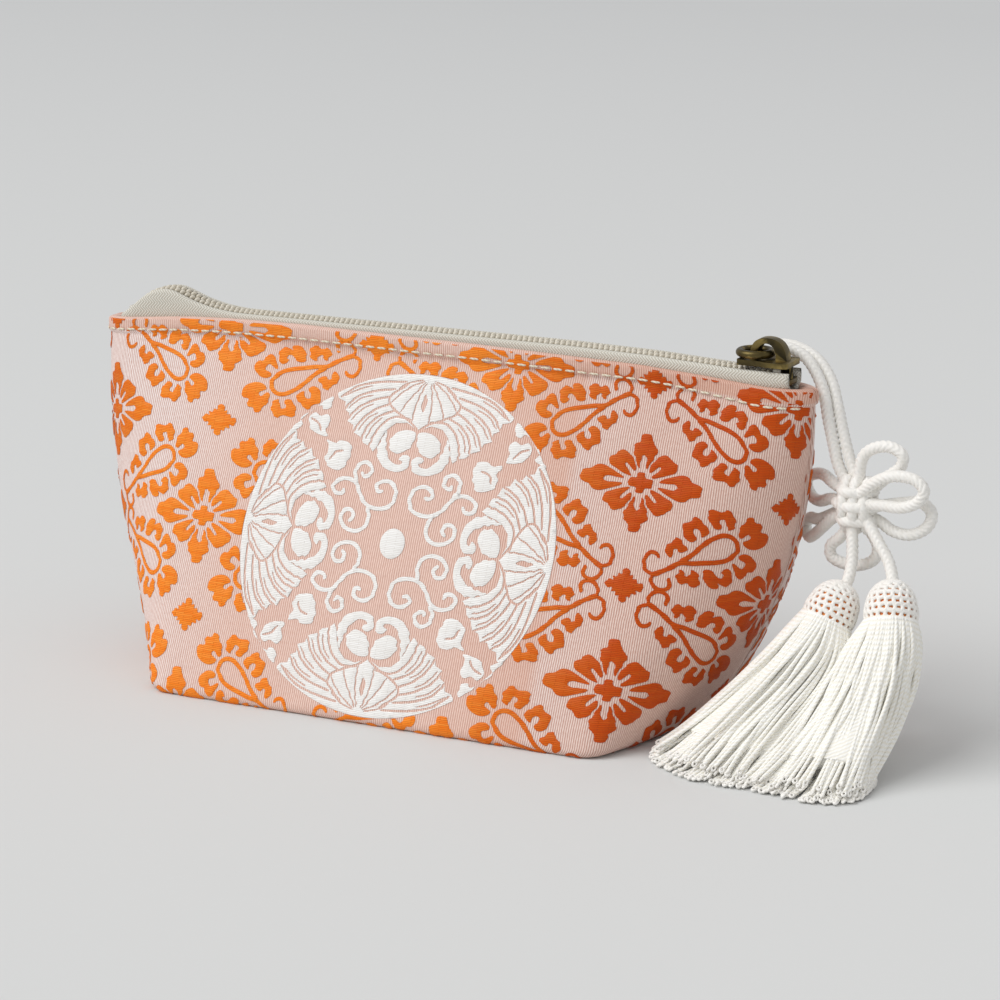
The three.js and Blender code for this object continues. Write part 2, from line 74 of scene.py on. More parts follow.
# Hanging cords: one round braid of white silk for each tassel. Each leaves the ring, turns
# over the corner of the mouth, passes through the knot and ends in the head of its tassel.
MM = 0.001
CORD_RADIUS = 1.5
BRAID_PITCH = 1.35
BRAID_SLANT = 4.6
BRAID_VALLEY = 0.78
CORD_ROUTES = {
    "left": [
        (86.4, 6.7, 95.2), (90.5, 7.2, 94.7), (94.8, 7.3, 92.8), (98.3, 6.3, 89), (100.7, 5.2, 84.6),
        (102.3, 4, 79), (104.1, 3.3, 73), (105.6, 3, 68), (107.6, 2.7, 64.2), (109.3, 1.6, 60),
        (110.6, -0.4, 55.4), (111.6, -1.9, 50), (112.1, -3.4, 45.6), (112, -5.6, 41.6), (110.6, -8.3, 37.4),
        (109.2, -10.6, 33.4),
    ],
    "right": [
        (86.4, 9.7, 95), (91, 10.3, 94.6), (96.6, 10.1, 92.2), (101, 8.7, 87.6), (103.6, 6.8, 82),
        (105.8, 5.1, 76), (107.9, 3.8, 70.6), (110, 2.9, 66), (112, 1.4, 61), (114.6, -0.9, 56.4),
        (118.2, -2.4, 51.6), (121.6, -3.8, 47.2), (123.5, -5.8, 43.4), (124.4, -8.6, 39),
        (125.1, -10.7, 35.2),
    ],
}


def linear(code):
    """Linear colour of an sRGB hex code."""
    parts = [int(code[i:i + 2], 16) / 255 for i in (1, 3, 5)]
    return [p / 12.92 if p < 0.04045 else ((p + 0.055) / 1.055) ** 2.4 for p in parts] + [1]


def add(tree, kind, inputs=None, **settings):
    """Adds a node. Its sockets take values, other sockets, or nodes, which give their first result."""
    node = tree.nodes.new(kind)
    for name, value in settings.items():
        setattr(node, name, value)
    for name, value in (inputs or {}).items():
        if isinstance(value, bpy.types.Node):
            value = next(s for s in value.outputs if s.enabled)
        if isinstance(value, bpy.types.NodeSocket):
            tree.links.new(value, node.inputs[name])
        else:
            node.inputs[name].default_value = value
    return node


def maths(tree, operation, *values, **settings):
    return add(tree, "ShaderNodeMath", dict(enumerate(values)), operation=operation, **settings)


def tint(tree, share, a, b, blend_type="MIX"):
    """Mixes two colours, each a hex code, a socket or a node, by a share."""
    a, b = (linear(colour) if isinstance(colour, str) else colour for colour in (a, b))
    return add(tree, "ShaderNodeMix", {"Factor": share, "A": a, "B": b}, data_type="RGBA", blend_type=blend_type)


def remap(tree, value, low, high, to_low=0.0, to_high=1.0):
    return add(tree, "ShaderNodeMapRange", {"Value": value, "From Min": low, "From Max": high,
                                            "To Min": to_low, "To Max": to_high})


def relief(tree, height, strength, distance, under=None):
    """Fine relief of a surface, on top of another relief where one is given."""
    inputs = {"Height": height, "Strength": strength, "Distance": distance}
    return add(tree, "ShaderNodeBump", {**inputs, "Normal": under} if under else inputs)


def texture(tree, kind, inputs, **settings):
    """Texture laid over a piece in the piece's own coordinates, in metres."""
    place = add(tree, "ShaderNodeTexCoord")
    return add(tree, f"ShaderNodeTex{kind}", {"Vector": place.outputs["Object"], **inputs}, **settings)


def new_finish(name):
    """Empty material and its node tree."""
    finish = bpy.data.materials.new(name)
    finish.use_nodes = True
    finish.node_tree.nodes.clear()
    return finish, finish.node_tree


def end_finish(tree, inputs):
    """Ends a material in one principled shader."""
    add(tree, "ShaderNodeOutputMaterial", {"Surface": add(tree, "ShaderNodeBsdfPrincipled", inputs)})


def loft_faces(laps, sides, closed=False):
    """Faces between laps of points. The ends are capped, or joined where the loft is closed."""
    faces = []
    for i in range(laps if closed else laps - 1):
        low, high = i * sides, (i + 1) % laps * sides
        faces += [(low + k, low + (k + 1) % sides, high + (k + 1) % sides, high + k) for k in range(sides)]
    if not closed:
        faces += [tuple(reversed(range(sides))), tuple(range((laps - 1) * sides, laps * sides))]
    return faces


def make_piece(name, points, faces, finish):
    mesh = bpy.data.meshes.new(name)
    mesh.from_pydata([[c * MM for c in p] for p in points], [], faces)
    mesh.materials.append(finish)
    mesh.polygons.foreach_set("use_smooth", [True] * len(mesh.polygons))
    piece = bpy.data.objects.new(name, mesh)
    scene.collection.objects.link(piece)
    return piece


def even_route(route, spacing):
    """Centripetal curve through a route, cut into even steps of about the spacing."""
    stops = [Vector(p) for p in route]
    stops = [2 * stops[0] - stops[1]] + stops + [2 * stops[-1] - stops[-2]]
    fine = []
    for a, b, c, d in zip(stops, stops[1:], stops[2:], stops[3:]):
        t1 = (b - a).length ** 0.5
        t2 = t1 + (c - b).length ** 0.5
        t3 = t2 + (d - c).length ** 0.5
        for k in range(20):
            t = t1 + (t2 - t1) * k / 20
            a1 = a * ((t1 - t) / t1) + b * (t / t1)
            a2 = b * ((t2 - t) / (t2 - t1)) + c * ((t - t1) / (t2 - t1))
            a3 = c * ((t3 - t) / (t3 - t2)) + d * ((t - t2) / (t3 - t2))
            b1 = a1 * ((t2 - t) / t2) + a2 * (t / t2)
            b2 = a2 * ((t3 - t) / (t3 - t1)) + a3 * ((t - t1) / (t3 - t1))
            fine.append(b1 * ((t2 - t) / (t2 - t1)) + b2 * ((t - t1) / (t2 - t1)))
    fine = np.array(fine + [stops[-2]])
    run = np.concatenate([[0], np.cumsum(np.linalg.norm(np.diff(fine, axis=0), axis=1))])
    even = np.linspace(0, run[-1], max(4, round(run[-1] / spacing)) + 1)
    return [Vector(p) for p in np.column_stack([np.interp(even, run, fine[:, k]) for k in range(3)])], run[-1]


def braid_swell(turn, run):
    """Share of the full radius: four columns of strands that meet in chevrons."""
    fold = abs((turn / math.pi * 2) % 2 - 1)
    crown = abs(math.sin(math.pi * run / BRAID_PITCH + BRAID_SLANT * fold)) ** 0.8
    return BRAID_VALLEY + (1 - BRAID_VALLEY) * crown


def braid_tube(route, radius=CORD_RADIUS, sides=24, spacing=0.24, closed=False):
    """Points, faces and marks of a braid; a mark holds the cosine and sine round the cord and the run."""
    path, length = even_route(route, spacing)
    if closed:
        path = path[:-1]
    count = len(path)
    across = Vector((0.31, 0.52, 0.79)).cross(path[1] - path[0]).normalized()
    points, marks = [], []
    for i, centre in enumerate(path):
        before = path[i - 1] if closed or i else path[0]
        after = path[(i + 1) % count] if closed else path[min(i + 1, count - 1)]
        ahead = (after - before).normalized()
        across = (across - ahead * across.dot(ahead)).normalized()
        up = ahead.cross(across)
        run = length * i / max(1, count - 1)
        for k in range(sides):
            turn = 2 * math.pi * k / sides
            reach = radius * braid_swell(turn, run)
            points.append(centre + (across * math.cos(turn) + up * math.sin(turn)) * reach)
            marks.append((math.cos(turn), math.sin(turn), run))
    return points, loft_faces(count, sides, closed), marks, path, length


def join_tubes(name, tubes, finish):
    points, faces, marks = [], [], []
    for tube in tubes:
        faces += [tuple(len(points) + k for k in face) for face in tube[1]]
        points += tube[0]
        marks += tube[2]
    piece = make_piece(name, points, faces, finish)
    ply = piece.data.attributes.new("ply", "FLOAT_VECTOR", "POINT")
    ply.data.foreach_set("vector", [c for mark in marks for c in mark])
    return piece


# Degummed silk, spun and braided: white with a soft lustre, and a little creamy in places at random.
white_silk, tree = new_finish("braided_white_silk")
mark = add(tree, "ShaderNodeAttribute", attribute_name="ply")
split = add(tree, "ShaderNodeSeparateXYZ", {"Vector": mark.outputs["Vector"]})
# Filaments 0.25 mm apart, wound at a slant
slant = maths(tree, "MULTIPLY", split.outputs["X"], 2.5)
filament = maths(tree, "MULTIPLY_ADD", split.outputs["Z"], 25.0, slant)
wave = maths(tree, "SINE", filament)
place = add(tree, "ShaderNodeTexCoord")
fuzz = texture(tree, "Noise", {"Scale": 900.0, "Detail": 3.0})
tone = tint(tree, fuzz.outputs["Fac"], "#F3EFE6", "#FCFBF9")
bump = relief(tree, wave, 0.25, 0.00008)
fine_bump = relief(tree, fuzz.outputs["Fac"], 0.3, 0.0002, bump)
end_finish(tree, {"Base Color": tone, "Roughness": 0.55, "Sheen Weight": 0.25, "Sheen Roughness": 0.4,
                  "Normal": fine_bump})

hanging_cords = {}
cord_paths = {}
for side, route in CORD_ROUTES.items():
    tube = braid_tube(route)
    hanging_cords[side] = join_tubes(f"silk_cord_{side}", [tube], white_silk)
    cord_paths[side] = (tube[3], tube[4])
    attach(hanging_cords[side], "charm")
    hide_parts(f"cord_run_{side}", f"drop_cord_{side}")

# Petal knot: the same cord laid in six loops round a plaited heart, three to the right,
# one below and two that reach behind the pouch. Tied by hand and drawn tight.
PETALS = {
    "left_upper": [
        (109, 3, 61), (104, 4.6, 62.8), (100.6, 7.4, 63.8), (96.6, 11.8, 62.8), (93.2, 15.4, 60.6),
        (92.6, 16.4, 58.2), (94, 15.6, 56.2), (97.6, 11.8, 56), (103, 6.4, 58.4), (109, 3.6, 59.2),
    ],
    "left_lower": [
        (109, 3, 56), (104.3, 4.4, 54.2), (101, 6.4, 51.2), (97, 10.4, 47.6), (94.2, 14, 46),
        (92.6, 16.2, 47.8), (94, 15, 50.4), (98.4, 10.2, 51.8), (103.2, 8.2, 54.4), (108, 5.6, 57),
    ],
    "top": [
        (112.5, 1, 62), (111.9, 1, 67.6), (113, 1, 71.6), (116, 0.8, 73.8), (119.8, 0.6, 74.3),
        (122.8, 0.6, 72.6), (122.4, 0.8, 69.8), (119, 1, 66.8), (114, 1.2, 62),
    ],
    "right": [
        (113, -1.5, 62.5), (116.5, -2.6, 65.6), (120, -3, 67.6), (124, -3.2, 68.4), (128, -3.2, 67.6),
        (129.8, -3.2, 65.4), (128.4, -3, 62.6), (124.4, -2.6, 60.6), (119, -2, 60.4), (113, -1.2, 60.2),
    ],
    "right_lower": [
        (113, 1.8, 58.5), (118.4, 1.6, 59.6), (123.4, 1.2, 60.8), (127.9, 0.8, 61.4), (130.6, 0.6, 59.2),
        (129.8, 0.6, 55.8), (125.6, 0.8, 53.2), (120.8, 1.3, 53.4), (117, 1.7, 55.4), (113, 2, 56.5),
    ],
    "bottom": [
        (110.4, 2.2, 54.4), (106.8, 2.4, 50), (104.3, 2.8, 47.4), (104.6, 2.8, 44.8), (107.8, 2.8, 43.4),
        (112.2, 2.8, 43.5), (115.8, 2.8, 45.6), (116.4, 2.8, 48.8), (114.6, 3, 52), (112.5, 3.6, 55),
    ],
}
petals = join_tubes("silk_petals", [braid_tube(route) for route in PETALS.values()], white_silk)
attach(petals, "charm")
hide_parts(*[f"petal_{name}" for name in PETALS])

# Heart of the knot: bands of cord that pass over and under each other
KNOT_CENTRE = Vector((111.4, 1.5, 59))
KNOT_BANDS = [
    ((1, 0), -2.7, 4.1, 5.6, 0.0), ((1, 0), 0.0, 4.6, 6.0, 1.6), ((1, 0), 2.7, 4.1, 5.6, 0.0),
    ((0, 1), -3.6, 4.4, 4.2, 1.6), ((0, 1), 0.1, 4.9, 4.9, 0.0), ((0, 1), 3.6, 4.4, 4.2, 1.6),
]


def knot_band(plane, offset, front, reach, phase):
    route = []
    for k in range(25):
        turn = 2 * math.pi * k / 24
        weave = 1 + 0.07 * math.cos(4 * turn + phase)
        out, off = weave * reach * math.sin(turn), -weave * front * 0.8 * math.cos(turn)
        spot = (offset, off, out) if plane == (1, 0) else (out, off, offset)
        route.append(KNOT_CENTRE + Vector(spot))
    return route


heart = [braid_tube(knot_band(*band), radius=1.42, closed=True) for band in KNOT_BANDS]
ball = bmesh.new()
bmesh.ops.create_uvsphere(ball, u_segments=20, v_segments=12, radius=1)
core_points = [KNOT_CENTRE + Vector((v.co.x * 4.9, v.co.y * 3.9, v.co.z * 5.8)) for v in ball.verts]
core_faces = [tuple(v.index for v in f.verts) for f in ball.faces]
ball.free()
heart.append((core_points, core_faces, [(1, 0, 0)] * len(core_points)))
knot = join_tubes("silk_knot", heart, white_silk)
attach(knot, "charm")
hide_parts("knot")

# Tassel heads: a crocheted net of white silk, drawn over a head wound with orange silk.
# The net is rings of thread laid in rows, which leave small holes.
CAP_RADIUS = 6.6
CAP_HEIGHT = 10
HEAD_LAPS, HEAD_SIDES = 13, 24
HEADS = {
    "left": (Vector((108.9, -11, 32.6)), Vector((111.7, -6.4, 41.1))),
    "right": (Vector((125.2, -11, 34.4)), Vector((123.6, -6.4, 43))),
}


def bake(piece, tree, values):
    """Runs a node tree on a piece and leaves its result as a plain mesh."""
    maker = piece.modifiers.new("maker", "NODES")
    maker.node_group = tree
    sockets = {s.name: s.identifier for s in tree.interface.items_tree if s.in_out == "INPUT"}
    for name, value in values.items():
        maker[sockets[name]] = value
    bpy.context.view_layer.update()
    finished = piece.evaluated_get(bpy.context.evaluated_depsgraph_get())
    mesh = bpy.data.meshes.new_from_object(finished)
    mesh.name = piece.name
    piece.modifiers.clear()
    piece.data = mesh
    return piece


def new_group(name, **sockets):
    """Geometry node tree with its inputs, and the node that gives them."""
    tree = bpy.data.node_groups.new(name, "GeometryNodeTree")
    tree.is_modifier = True
    tree.interface.new_socket("Geometry", in_out="OUTPUT", socket_type="NodeSocketGeometry")
    for label, kind in {"Geometry": "Geometry", **sockets}.items():
        tree.interface.new_socket(label, in_out="INPUT", socket_type=f"NodeSocket{kind}")
    return tree, add(tree, "NodeGroupInput")


# Lays copies of one small part on points, with its X along the seam and its Z outwards
laid, given = new_group("laid_parts", Part="Object", Finish="Material")
part = add(laid, "GeometryNodeObjectInfo", {"Object": given.outputs["Part"]})
along = add(laid, "GeometryNodeInputNamedAttribute", {"Name": "along"}, data_type="FLOAT_VECTOR")
outward = add(laid, "GeometryNodeInputNamedAttribute", {"Name": "outward"}, data_type="FLOAT_VECTOR")
first = add(laid, "FunctionNodeAlignRotationToVector", {"Vector": along}, axis="X")
second = add(laid, "FunctionNodeAlignRotationToVector",
             {"Rotation": first, "Vector": outward}, axis="Z", pivot_axis="X")
copies = add(laid, "GeometryNodeInstanceOnPoints", {"Points": given.outputs["Geometry"],
             "Instance": part.outputs["Geometry"], "Rotation": second})
solid = add(laid, "GeometryNodeRealizeInstances", {"Geometry": copies})
dressed = add(laid, "GeometryNodeSetMaterial", {"Geometry": solid, "Material": given.outputs["Finish"]})
add(laid, "NodeGroupOutput", {"Geometry": dressed})


def lay_parts(name, spots, part, finish):
    """Lays a part on (place, along, outward) spots."""
    piece = make_piece(name, [s[0] for s in spots], [], finish)
    for slot, key in ((1, "along"), (2, "outward")):
        layer = piece.data.attributes.new(key, "FLOAT_VECTOR", "POINT")
        layer.data.foreach_set("vector", [c for s in spots for c in s[slot]])
    return bake(piece, laid, {"Part": part, "Finish": finish})


def ring_part(name, mean, wire, sides=14, wire_sides=7, squeeze=1.0):
    points, faces = [], []
    for i in range(sides):
        turn = 2 * math.pi * i / sides
        for k in range(wire_sides):
            roll = 2 * math.pi * k / wire_sides
            reach = mean + wire * math.cos(roll)
            points.append((reach * math.cos(turn), squeeze * reach * math.sin(turn), wire * math.sin(roll)))
            n, j = (i + 1) % sides, (k + 1) % wire_sides
            faces.append((i * wire_sides + k, n * wire_sides + k, n * wire_sides + j, i * wire_sides + j))
    return make_piece(name, points, faces, white_silk)


def head_reach(height, inset=0.0):
    """Radius of a tassel's head at a height above its foot."""
    h = min(max(height / CAP_HEIGHT, 0), 1)
    round_top = math.sqrt(max(0.0, 1 - max(0.0, (h - 0.3) / 0.7) ** 2))
    return (CAP_RADIUS - inset) * (0.96 + 0.04 * math.sin(math.pi * min(1, h / 0.4))) * round_top


def head_frame(side):
    foot, top = HEADS[side]
    axis = (top - foot).normalized()
    across = axis.cross(Vector((0, 1, 0))).normalized()
    return foot, axis, across, axis.cross(across)


# Floss silk wound on the head: deep orange, seen through the net
wound_silk, tree = new_finish("wound_orange_silk")
winding = texture(tree, "Wave", {"Scale": 350.0, "Distortion": 1.5}, bands_direction="Z")
tone = tint(tree, winding.outputs["Fac"], "#E0762A", "#FFA347")
bump = relief(tree, winding.outputs["Fac"], 0.5, 0.0002)
end_finish(tree, {"Base Color": tone, "Roughness": 0.5, "Sheen Weight": 0.3, "Normal": bump})

net_ring = ring_part("net_ring", 0.95, 0.5)
tassel_pieces = {"left": [], "right": []}
for side in HEADS:
    foot, axis, across, up = head_frame(side)
    net_spots = []
    for row in range(8):
        slope = row / 7.6 * math.pi / 2
        height = 0.7 + (CAP_HEIGHT - 1.3) * math.sin(slope) ** 1.1
        reach = head_reach(height, 0.45)
        count = max(3, round(2 * math.pi * reach / 1.85))
        for k in range(count):
            turn = 2 * math.pi * (k + 0.5 * (row % 2)) / count
            side_way = across * math.cos(turn) + up * math.sin(turn)
            lean = (head_reach(height - 0.4, 0.45) - head_reach(height + 0.4, 0.45)) / 0.8
            out = (side_way + axis * min(lean, 6)).normalized()
            net_spots.append((foot + axis * height + side_way * reach, axis.cross(out).normalized(), out))
    net = lay_parts(f"tassel_net_{side}", net_spots, net_ring, white_silk)
    points = []
    for i in range(HEAD_LAPS):
        height = -0.3 + (CAP_HEIGHT - 0.5) * i / (HEAD_LAPS - 1)
        for k in range(HEAD_SIDES):
            turn = 2 * math.pi * k / HEAD_SIDES
            reach = max(0.4, head_reach(height, 0.72))
            points.append(foot + axis * height + (across * math.cos(turn) + up * math.sin(turn)) * reach)
    winding_core = make_piece(f"tassel_winding_{side}", points, loft_faces(HEAD_LAPS, HEAD_SIDES), wound_silk)
    for piece, node, slot in ((net, "tassel_cap", "white_cord"), (winding_core, "tassel_core", "tassel_core")):
        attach(piece, "charm")
        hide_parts(f"{node}_{side}")
        tassel_pieces[side].append(piece)

# Tassel skirts: two-ply twisted silk strands that fall from the head and lie forward on the
# table in a fan. Each is a length of yarn doubled back, so its tip is a small closed loop.
STRAND_RADIUS = 0.5
STRAND_STEPS = 18
PLY_TURN = 2.6
PACKED = 96
TIP_CLEAR = 0.9
STRAND_TIPS = {
    "left": [(72.5, -32), (75, -38), (80, -43), (85.5, -46), (91, -48), (97, -48.6), (103, -47.6), (110, -44.5)],
    "right": [(98, -45), (105, -48.2), (111.5, -49.4), (118, -50), (124, -49.6), (128.5, -47.5), (130.5, -42),
              (130.5, -35)],
}
STRAND_RINGS = [(1.0, 100), (0.9, 70), (0.72, 34), (0.45, 16)]


def capture(tree, geometry, kind, name, value):
    """Keeps a value on its geometry, for use after the geometry has changed."""
    node = tree.nodes.new("GeometryNodeCaptureAttribute")
    node.capture_items.new(kind, name)
    tree.links.new(geometry, node.inputs[0])
    tree.links.new(value, node.inputs[1])
    return node


yarn, given = new_group("twisted_strands", Radius="Float", Finish="Material")
lines = add(yarn, "GeometryNodeMeshToCurve", {"Mesh": given.outputs["Geometry"]})
spline = add(yarn, "GeometryNodeSplineParameter")
keep_run = capture(yarn, lines.outputs[0], "FLOAT", "run", spline.outputs["Length"])
section = add(yarn, "GeometryNodeCurvePrimitiveCircle", {"Resolution": 6, "Radius": given.outputs["Radius"]})
spot = add(yarn, "GeometryNodeInputPosition")
keep_spot = capture(yarn, section.outputs[0], "VECTOR", "spot", spot.outputs[0])
tubes = add(yarn, "GeometryNodeCurveToMesh", {"Curve": keep_run, "Profile Curve": keep_spot,
                                              "Fill Caps": True})
unit = add(yarn, "ShaderNodeVectorMath", {0: keep_spot.outputs[1]}, operation="NORMALIZE")
unit_parts = add(yarn, "ShaderNodeSeparateXYZ", {0: unit})
run_mm = maths(yarn, "MULTIPLY", keep_run.outputs[1], 1000.0)
ply_mark = add(yarn, "ShaderNodeCombineXYZ", {0: unit_parts, 1: unit_parts.outputs[1], 2: run_mm})
store = add(yarn, "GeometryNodeStoreNamedAttribute", {"Geometry": tubes, "Name": "ply", "Value": ply_mark},
            data_type="FLOAT_VECTOR", domain="POINT")
dressed = add(yarn, "GeometryNodeSetMaterial", {"Geometry": store, "Material": given.outputs["Finish"]})
add(yarn, "NodeGroupOutput", {"Geometry": dressed})

# Twisted silk: two plies that make one turn in 2.6 mm, white on their crowns and cream in the
# grooves between them
twisted_silk, tree = new_finish("twisted_white_silk")
mark = add(tree, "ShaderNodeAttribute", attribute_name="ply")
split = add(tree, "ShaderNodeSeparateXYZ", {"Vector": mark.outputs["Vector"]})
turned = maths(tree, "MULTIPLY", split.outputs["Z"], 2 * math.pi / PLY_TURN)
cosine = maths(tree, "COSINE", turned)
sine = maths(tree, "SINE", turned)
first = maths(tree, "MULTIPLY", split.outputs["X"], cosine)
second = maths(tree, "MULTIPLY_ADD", split.outputs["Y"], sine, first)
crown = maths(tree, "ABSOLUTE", second)
tone = tint(tree, crown, "#F8F3E4", "#FFFFFD")
bump = relief(tree, crown, 0.5, 0.0002)
end_finish(tree, {"Base Color": tone, "Roughness": 0.6, "Normal": bump})

chance = random.Random(7)


def strand_line(side, share, turn, loose):
    """One strand from under its head to its tip: it falls along the head's axis, then lies down."""
    foot, axis, across, up = head_frame(side)
    if across.x < 0:
        across, up = -across, -up
    if up.z < 0 and up.y > 0:
        up = -up
    tips = STRAND_TIPS[side]
    a, b = math.cos(turn), math.sin(turn)
    spread = min(max(a * (0.55 + 0.45 * share) + loose * chance.uniform(-0.1, 0.1), -1), 1)
    # The upper strands of the fan lie on the lower ones
    layer = 0.5 + 0.5 * b * share
    stops = np.linspace(-1, 1, len(tips))
    ex, ey = (float(np.interp(spread, stops, [tip[k] for tip in tips])) for k in (0, 1))
    neck = foot + (across * a + up * b) * (CAP_RADIUS - 0.5) * share
    back = Vector((foot.x - ex, foot.y - ey, 0)).normalized()
    tip = Vector((ex, ey, 0)) + back * (loose * chance.uniform(0, 3.2) + 1.6 * layer)
    tip.z = STRAND_RADIUS + 0.05 + 4.4 * layer * (chance.uniform(0.3, 1) if loose else 0.6)
    # The two skirts swell towards each other and meet
    meeting = 2.6 if (a > 0) == (side == "left") else 1.0
    swell = across * a * meeting + up * b
    stray = loose * Vector((chance.uniform(-1.2, 1.2), chance.uniform(-1, 1), chance.uniform(-0.8, 0.8)))
    fall = neck - axis * (11 + 3 * share) + swell * (1 + 3.2 * share) + stray
    lie = tip + back * (13 + 4 * layer) + Vector((0, 0, 3.4 + 8.5 * layer)) + stray * 1.5
    sway, line = chance.uniform(0, 6.3), []
    for i in range(STRAND_STEPS + 1):
        u = i / STRAND_STEPS
        p = neck * (1 - u) ** 3 + fall * (3 * u * (1 - u) ** 2) + lie * (3 * u * u * (1 - u)) + tip * u ** 3
        wave = loose * 0.55 * math.sin(6 * u + sway) * math.sin(math.pi * u)
        p = p + Vector((wave, 0.3 * wave, 0.2 * wave))
        p.z = max(p.z, STRAND_RADIUS + 0.05)
        line.append(p)
    return line


for side in STRAND_TIPS:
    points, edges, ends = [], [], []
    for share, count in STRAND_RINGS:
        for k in range(count):
            line = strand_line(side, share, 2 * math.pi * (k + chance.uniform(-0.3, 0.3)) / count, 1)
            edges += [(len(points) + i, len(points) + i + 1) for i in range(STRAND_STEPS)]
            points += line
            way = (line[-1] - line[-2]).normalized()
            tip = line[-1] + way * 0.5
            tip.z = max(tip.z, TIP_CLEAR)
            ends.append((tip, way, Vector((chance.uniform(-1, 1), 0.2, 1)).normalized()))
    skirt = make_piece(f"tassel_strands_{side}", points, [], twisted_silk)
    skirt.data.edges.add(len(edges))
    skirt.data.edges.foreach_set("vertices", [v for edge in edges for v in edge])
    bake(skirt, yarn, {"Radius": STRAND_RADIUS * MM, "Finish": twisted_silk})
    tip_loop = ring_part("tip_loop", 0.62, 0.34, sides=8, wire_sides=5, squeeze=0.8)
    loops = lay_parts(f"tassel_tips_{side}", ends, tip_loop, white_silk)
    bpy.data.objects.remove(tip_loop)
    # The packed strands inside the skirt, which close the gaps between the outer ones
    lines = [strand_line(side, (0.8, 0.75)[k % 2], 2 * math.pi * k / PACKED, 0)[:-3] for k in range(PACKED)]
    laps = list(zip(*lines))
    packed = make_piece(f"tassel_packed_{side}", [p for lap in laps for p in lap], loft_faces(len(laps), PACKED),
                        twisted_silk)
    shape = bmesh.new()
    shape.from_mesh(packed.data)
    bmesh.ops.recalc_face_normals(shape, faces=shape.faces)
    shape.to_mesh(packed.data)
    shape.free()
    # Each line has its plies a quarter turn ahead of the last one's
    quarter_turns = [(1.0, 0.0), (0.0, 1.0), (-1.0, 0.0), (0.0, -1.0)]
    ply = packed.data.attributes.new("ply", "FLOAT_VECTOR", "POINT")
    ply.data.foreach_set("vector", [c for i in range(len(laps)) for k in range(PACKED)
                                    for c in (*quarter_turns[k % 4], 3.1 * i)])
    for piece in (skirt, loops, packed):
        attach(piece, "charm")
        tassel_pieces[side].append(piece)
    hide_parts(f"tassel_skirt_{side}")
bpy.data.objects.remove(net_ring)

for side, piece in hanging_cords.items():
    path, length = cord_paths[side]
    route = [p * MM for p in path[::3]] + [path[-1] * MM]

# Cloth of the pouch: one piece of silk brocade makes front, base and back, and its ends are
# folded to boxed gussets. Pattern places are (s, t): s round the panel from its middle, t up it.
MOUTH_LENGTH = 200
HEIGHT = 86
BASE_LENGTH = 126
BASE_DEPTH = 92
BASE_END_BULGE = 10
MOUTH_DEPTH = 14
MOUTH_CORNER = 5
PANEL_BELLY = 1.5
END_CURVE = 2.3
BASE_FOLD = 2.6
SEAM_GROOVE = 1.2
CLOTH_WALL = 2
FOLD_START = -1.24
ROLL_FOOT = 4.4


def mix(a, b, t):
    return a + (b - a) * t


def quarter_outline(z, inset, steps=(16, 12, 12)):
    h = min(max(z / HEIGHT, 0), 1)
    depth = mix(BASE_DEPTH, MOUTH_DEPTH, h) / 2 + PANEL_BELLY * math.sin(math.pi * h) - inset
    base_end = BASE_LENGTH / 2 + BASE_END_BULGE
    end = MOUTH_LENGTH / 2 - (MOUTH_LENGTH / 2 - base_end) * (1 - h) ** END_CURVE - 1.5 * inset
    corner = Vector((mix(BASE_LENGTH / 2, MOUTH_LENGTH / 2 - MOUTH_CORNER, h) - inset, depth * mix(1, 0.8, h)))
    turn = mix(0.1, 0.32, math.sin(math.pi * h)) * BASE_DEPTH / 2
    middle, aim = Vector((0, depth)), Vector((end, corner.y * 0.4))
    before = corner + (middle - corner).normalized() * turn
    after = corner.lerp(aim, min(0.6, turn / (aim - corner).length))
    lip = Vector((end, min(0.8, corner.y * 0.15)))

    def bend(a, b, c, t):
        return a * (1 - t) ** 2 + b * (2 * t * (1 - t)) + c * t * t

    spots = [middle.lerp(before, k / steps[0]) for k in range(steps[0])]
    spots += [bend(before, corner, after, k / steps[1]) for k in range(steps[1])]
    spots += [bend(after, aim, lip, k / steps[2]) for k in range(steps[2] + 1)]
    return spots + [Vector((end - SEAM_GROOVE, 0))]


# Wall of the cloth as a table: t up the panel, height, and the places round each section
wall_rows = []
for k in range(7):
    turn = math.pi / 2 * k / 6
    wall_rows.append((FOLD_START + BASE_FOLD * turn,
                      BASE_FOLD * (1 - math.cos(turn)), BASE_FOLD * (1 - math.sin(turn))))
for z in np.linspace(BASE_FOLD, HEIGHT, 60)[1:]:
    last = wall_rows[-1]
    deep = [quarter_outline(h, i, (1, 1, 1))[0].y for h, i in ((z, 0.0), last[1:])]
    wall_rows.append((last[0] + math.hypot(z - last[1], deep[0] - deep[1]), z, 0.0))
row_t = np.array([row[0] for row in wall_rows])
row_z = np.array([row[1] for row in wall_rows])
row_xy = np.array([[tuple(p) for p in quarter_outline(z, inset)[:-1]] for _, z, inset in wall_rows])
row_s = np.concatenate([np.zeros((len(row_t), 1)),
                        np.cumsum(np.linalg.norm(np.diff(row_xy, axis=1), axis=2), axis=1)], axis=1)
PANEL_TOP = row_t[-1]
FOLD_Y = row_xy[0, 0, 1]
# The panels are cut with an arched top: this much stands above the CAD's straight rim
RIM_ARCH_X = [-101, -90, -75, -60, -40, 10, 57, 75, 88, 101]
RIM_ARCH = [1.9, 2.9, 4.4, 5.1, 5.4, 4.9, 3.7, 2.5, 1.3, 0.9]


def rim_arch(x):
    return float(np.interp(x, RIM_ARCH_X, RIM_ARCH))


def half_width(t):
    return float(np.interp(t, row_t, row_s[:, -1]))


def rim_t(s, back=False):
    x = math.copysign(np.interp(abs(s), row_s[-1], row_xy[-1, :, 0]), s)
    return PANEL_TOP + rim_arch(-x if back else x)


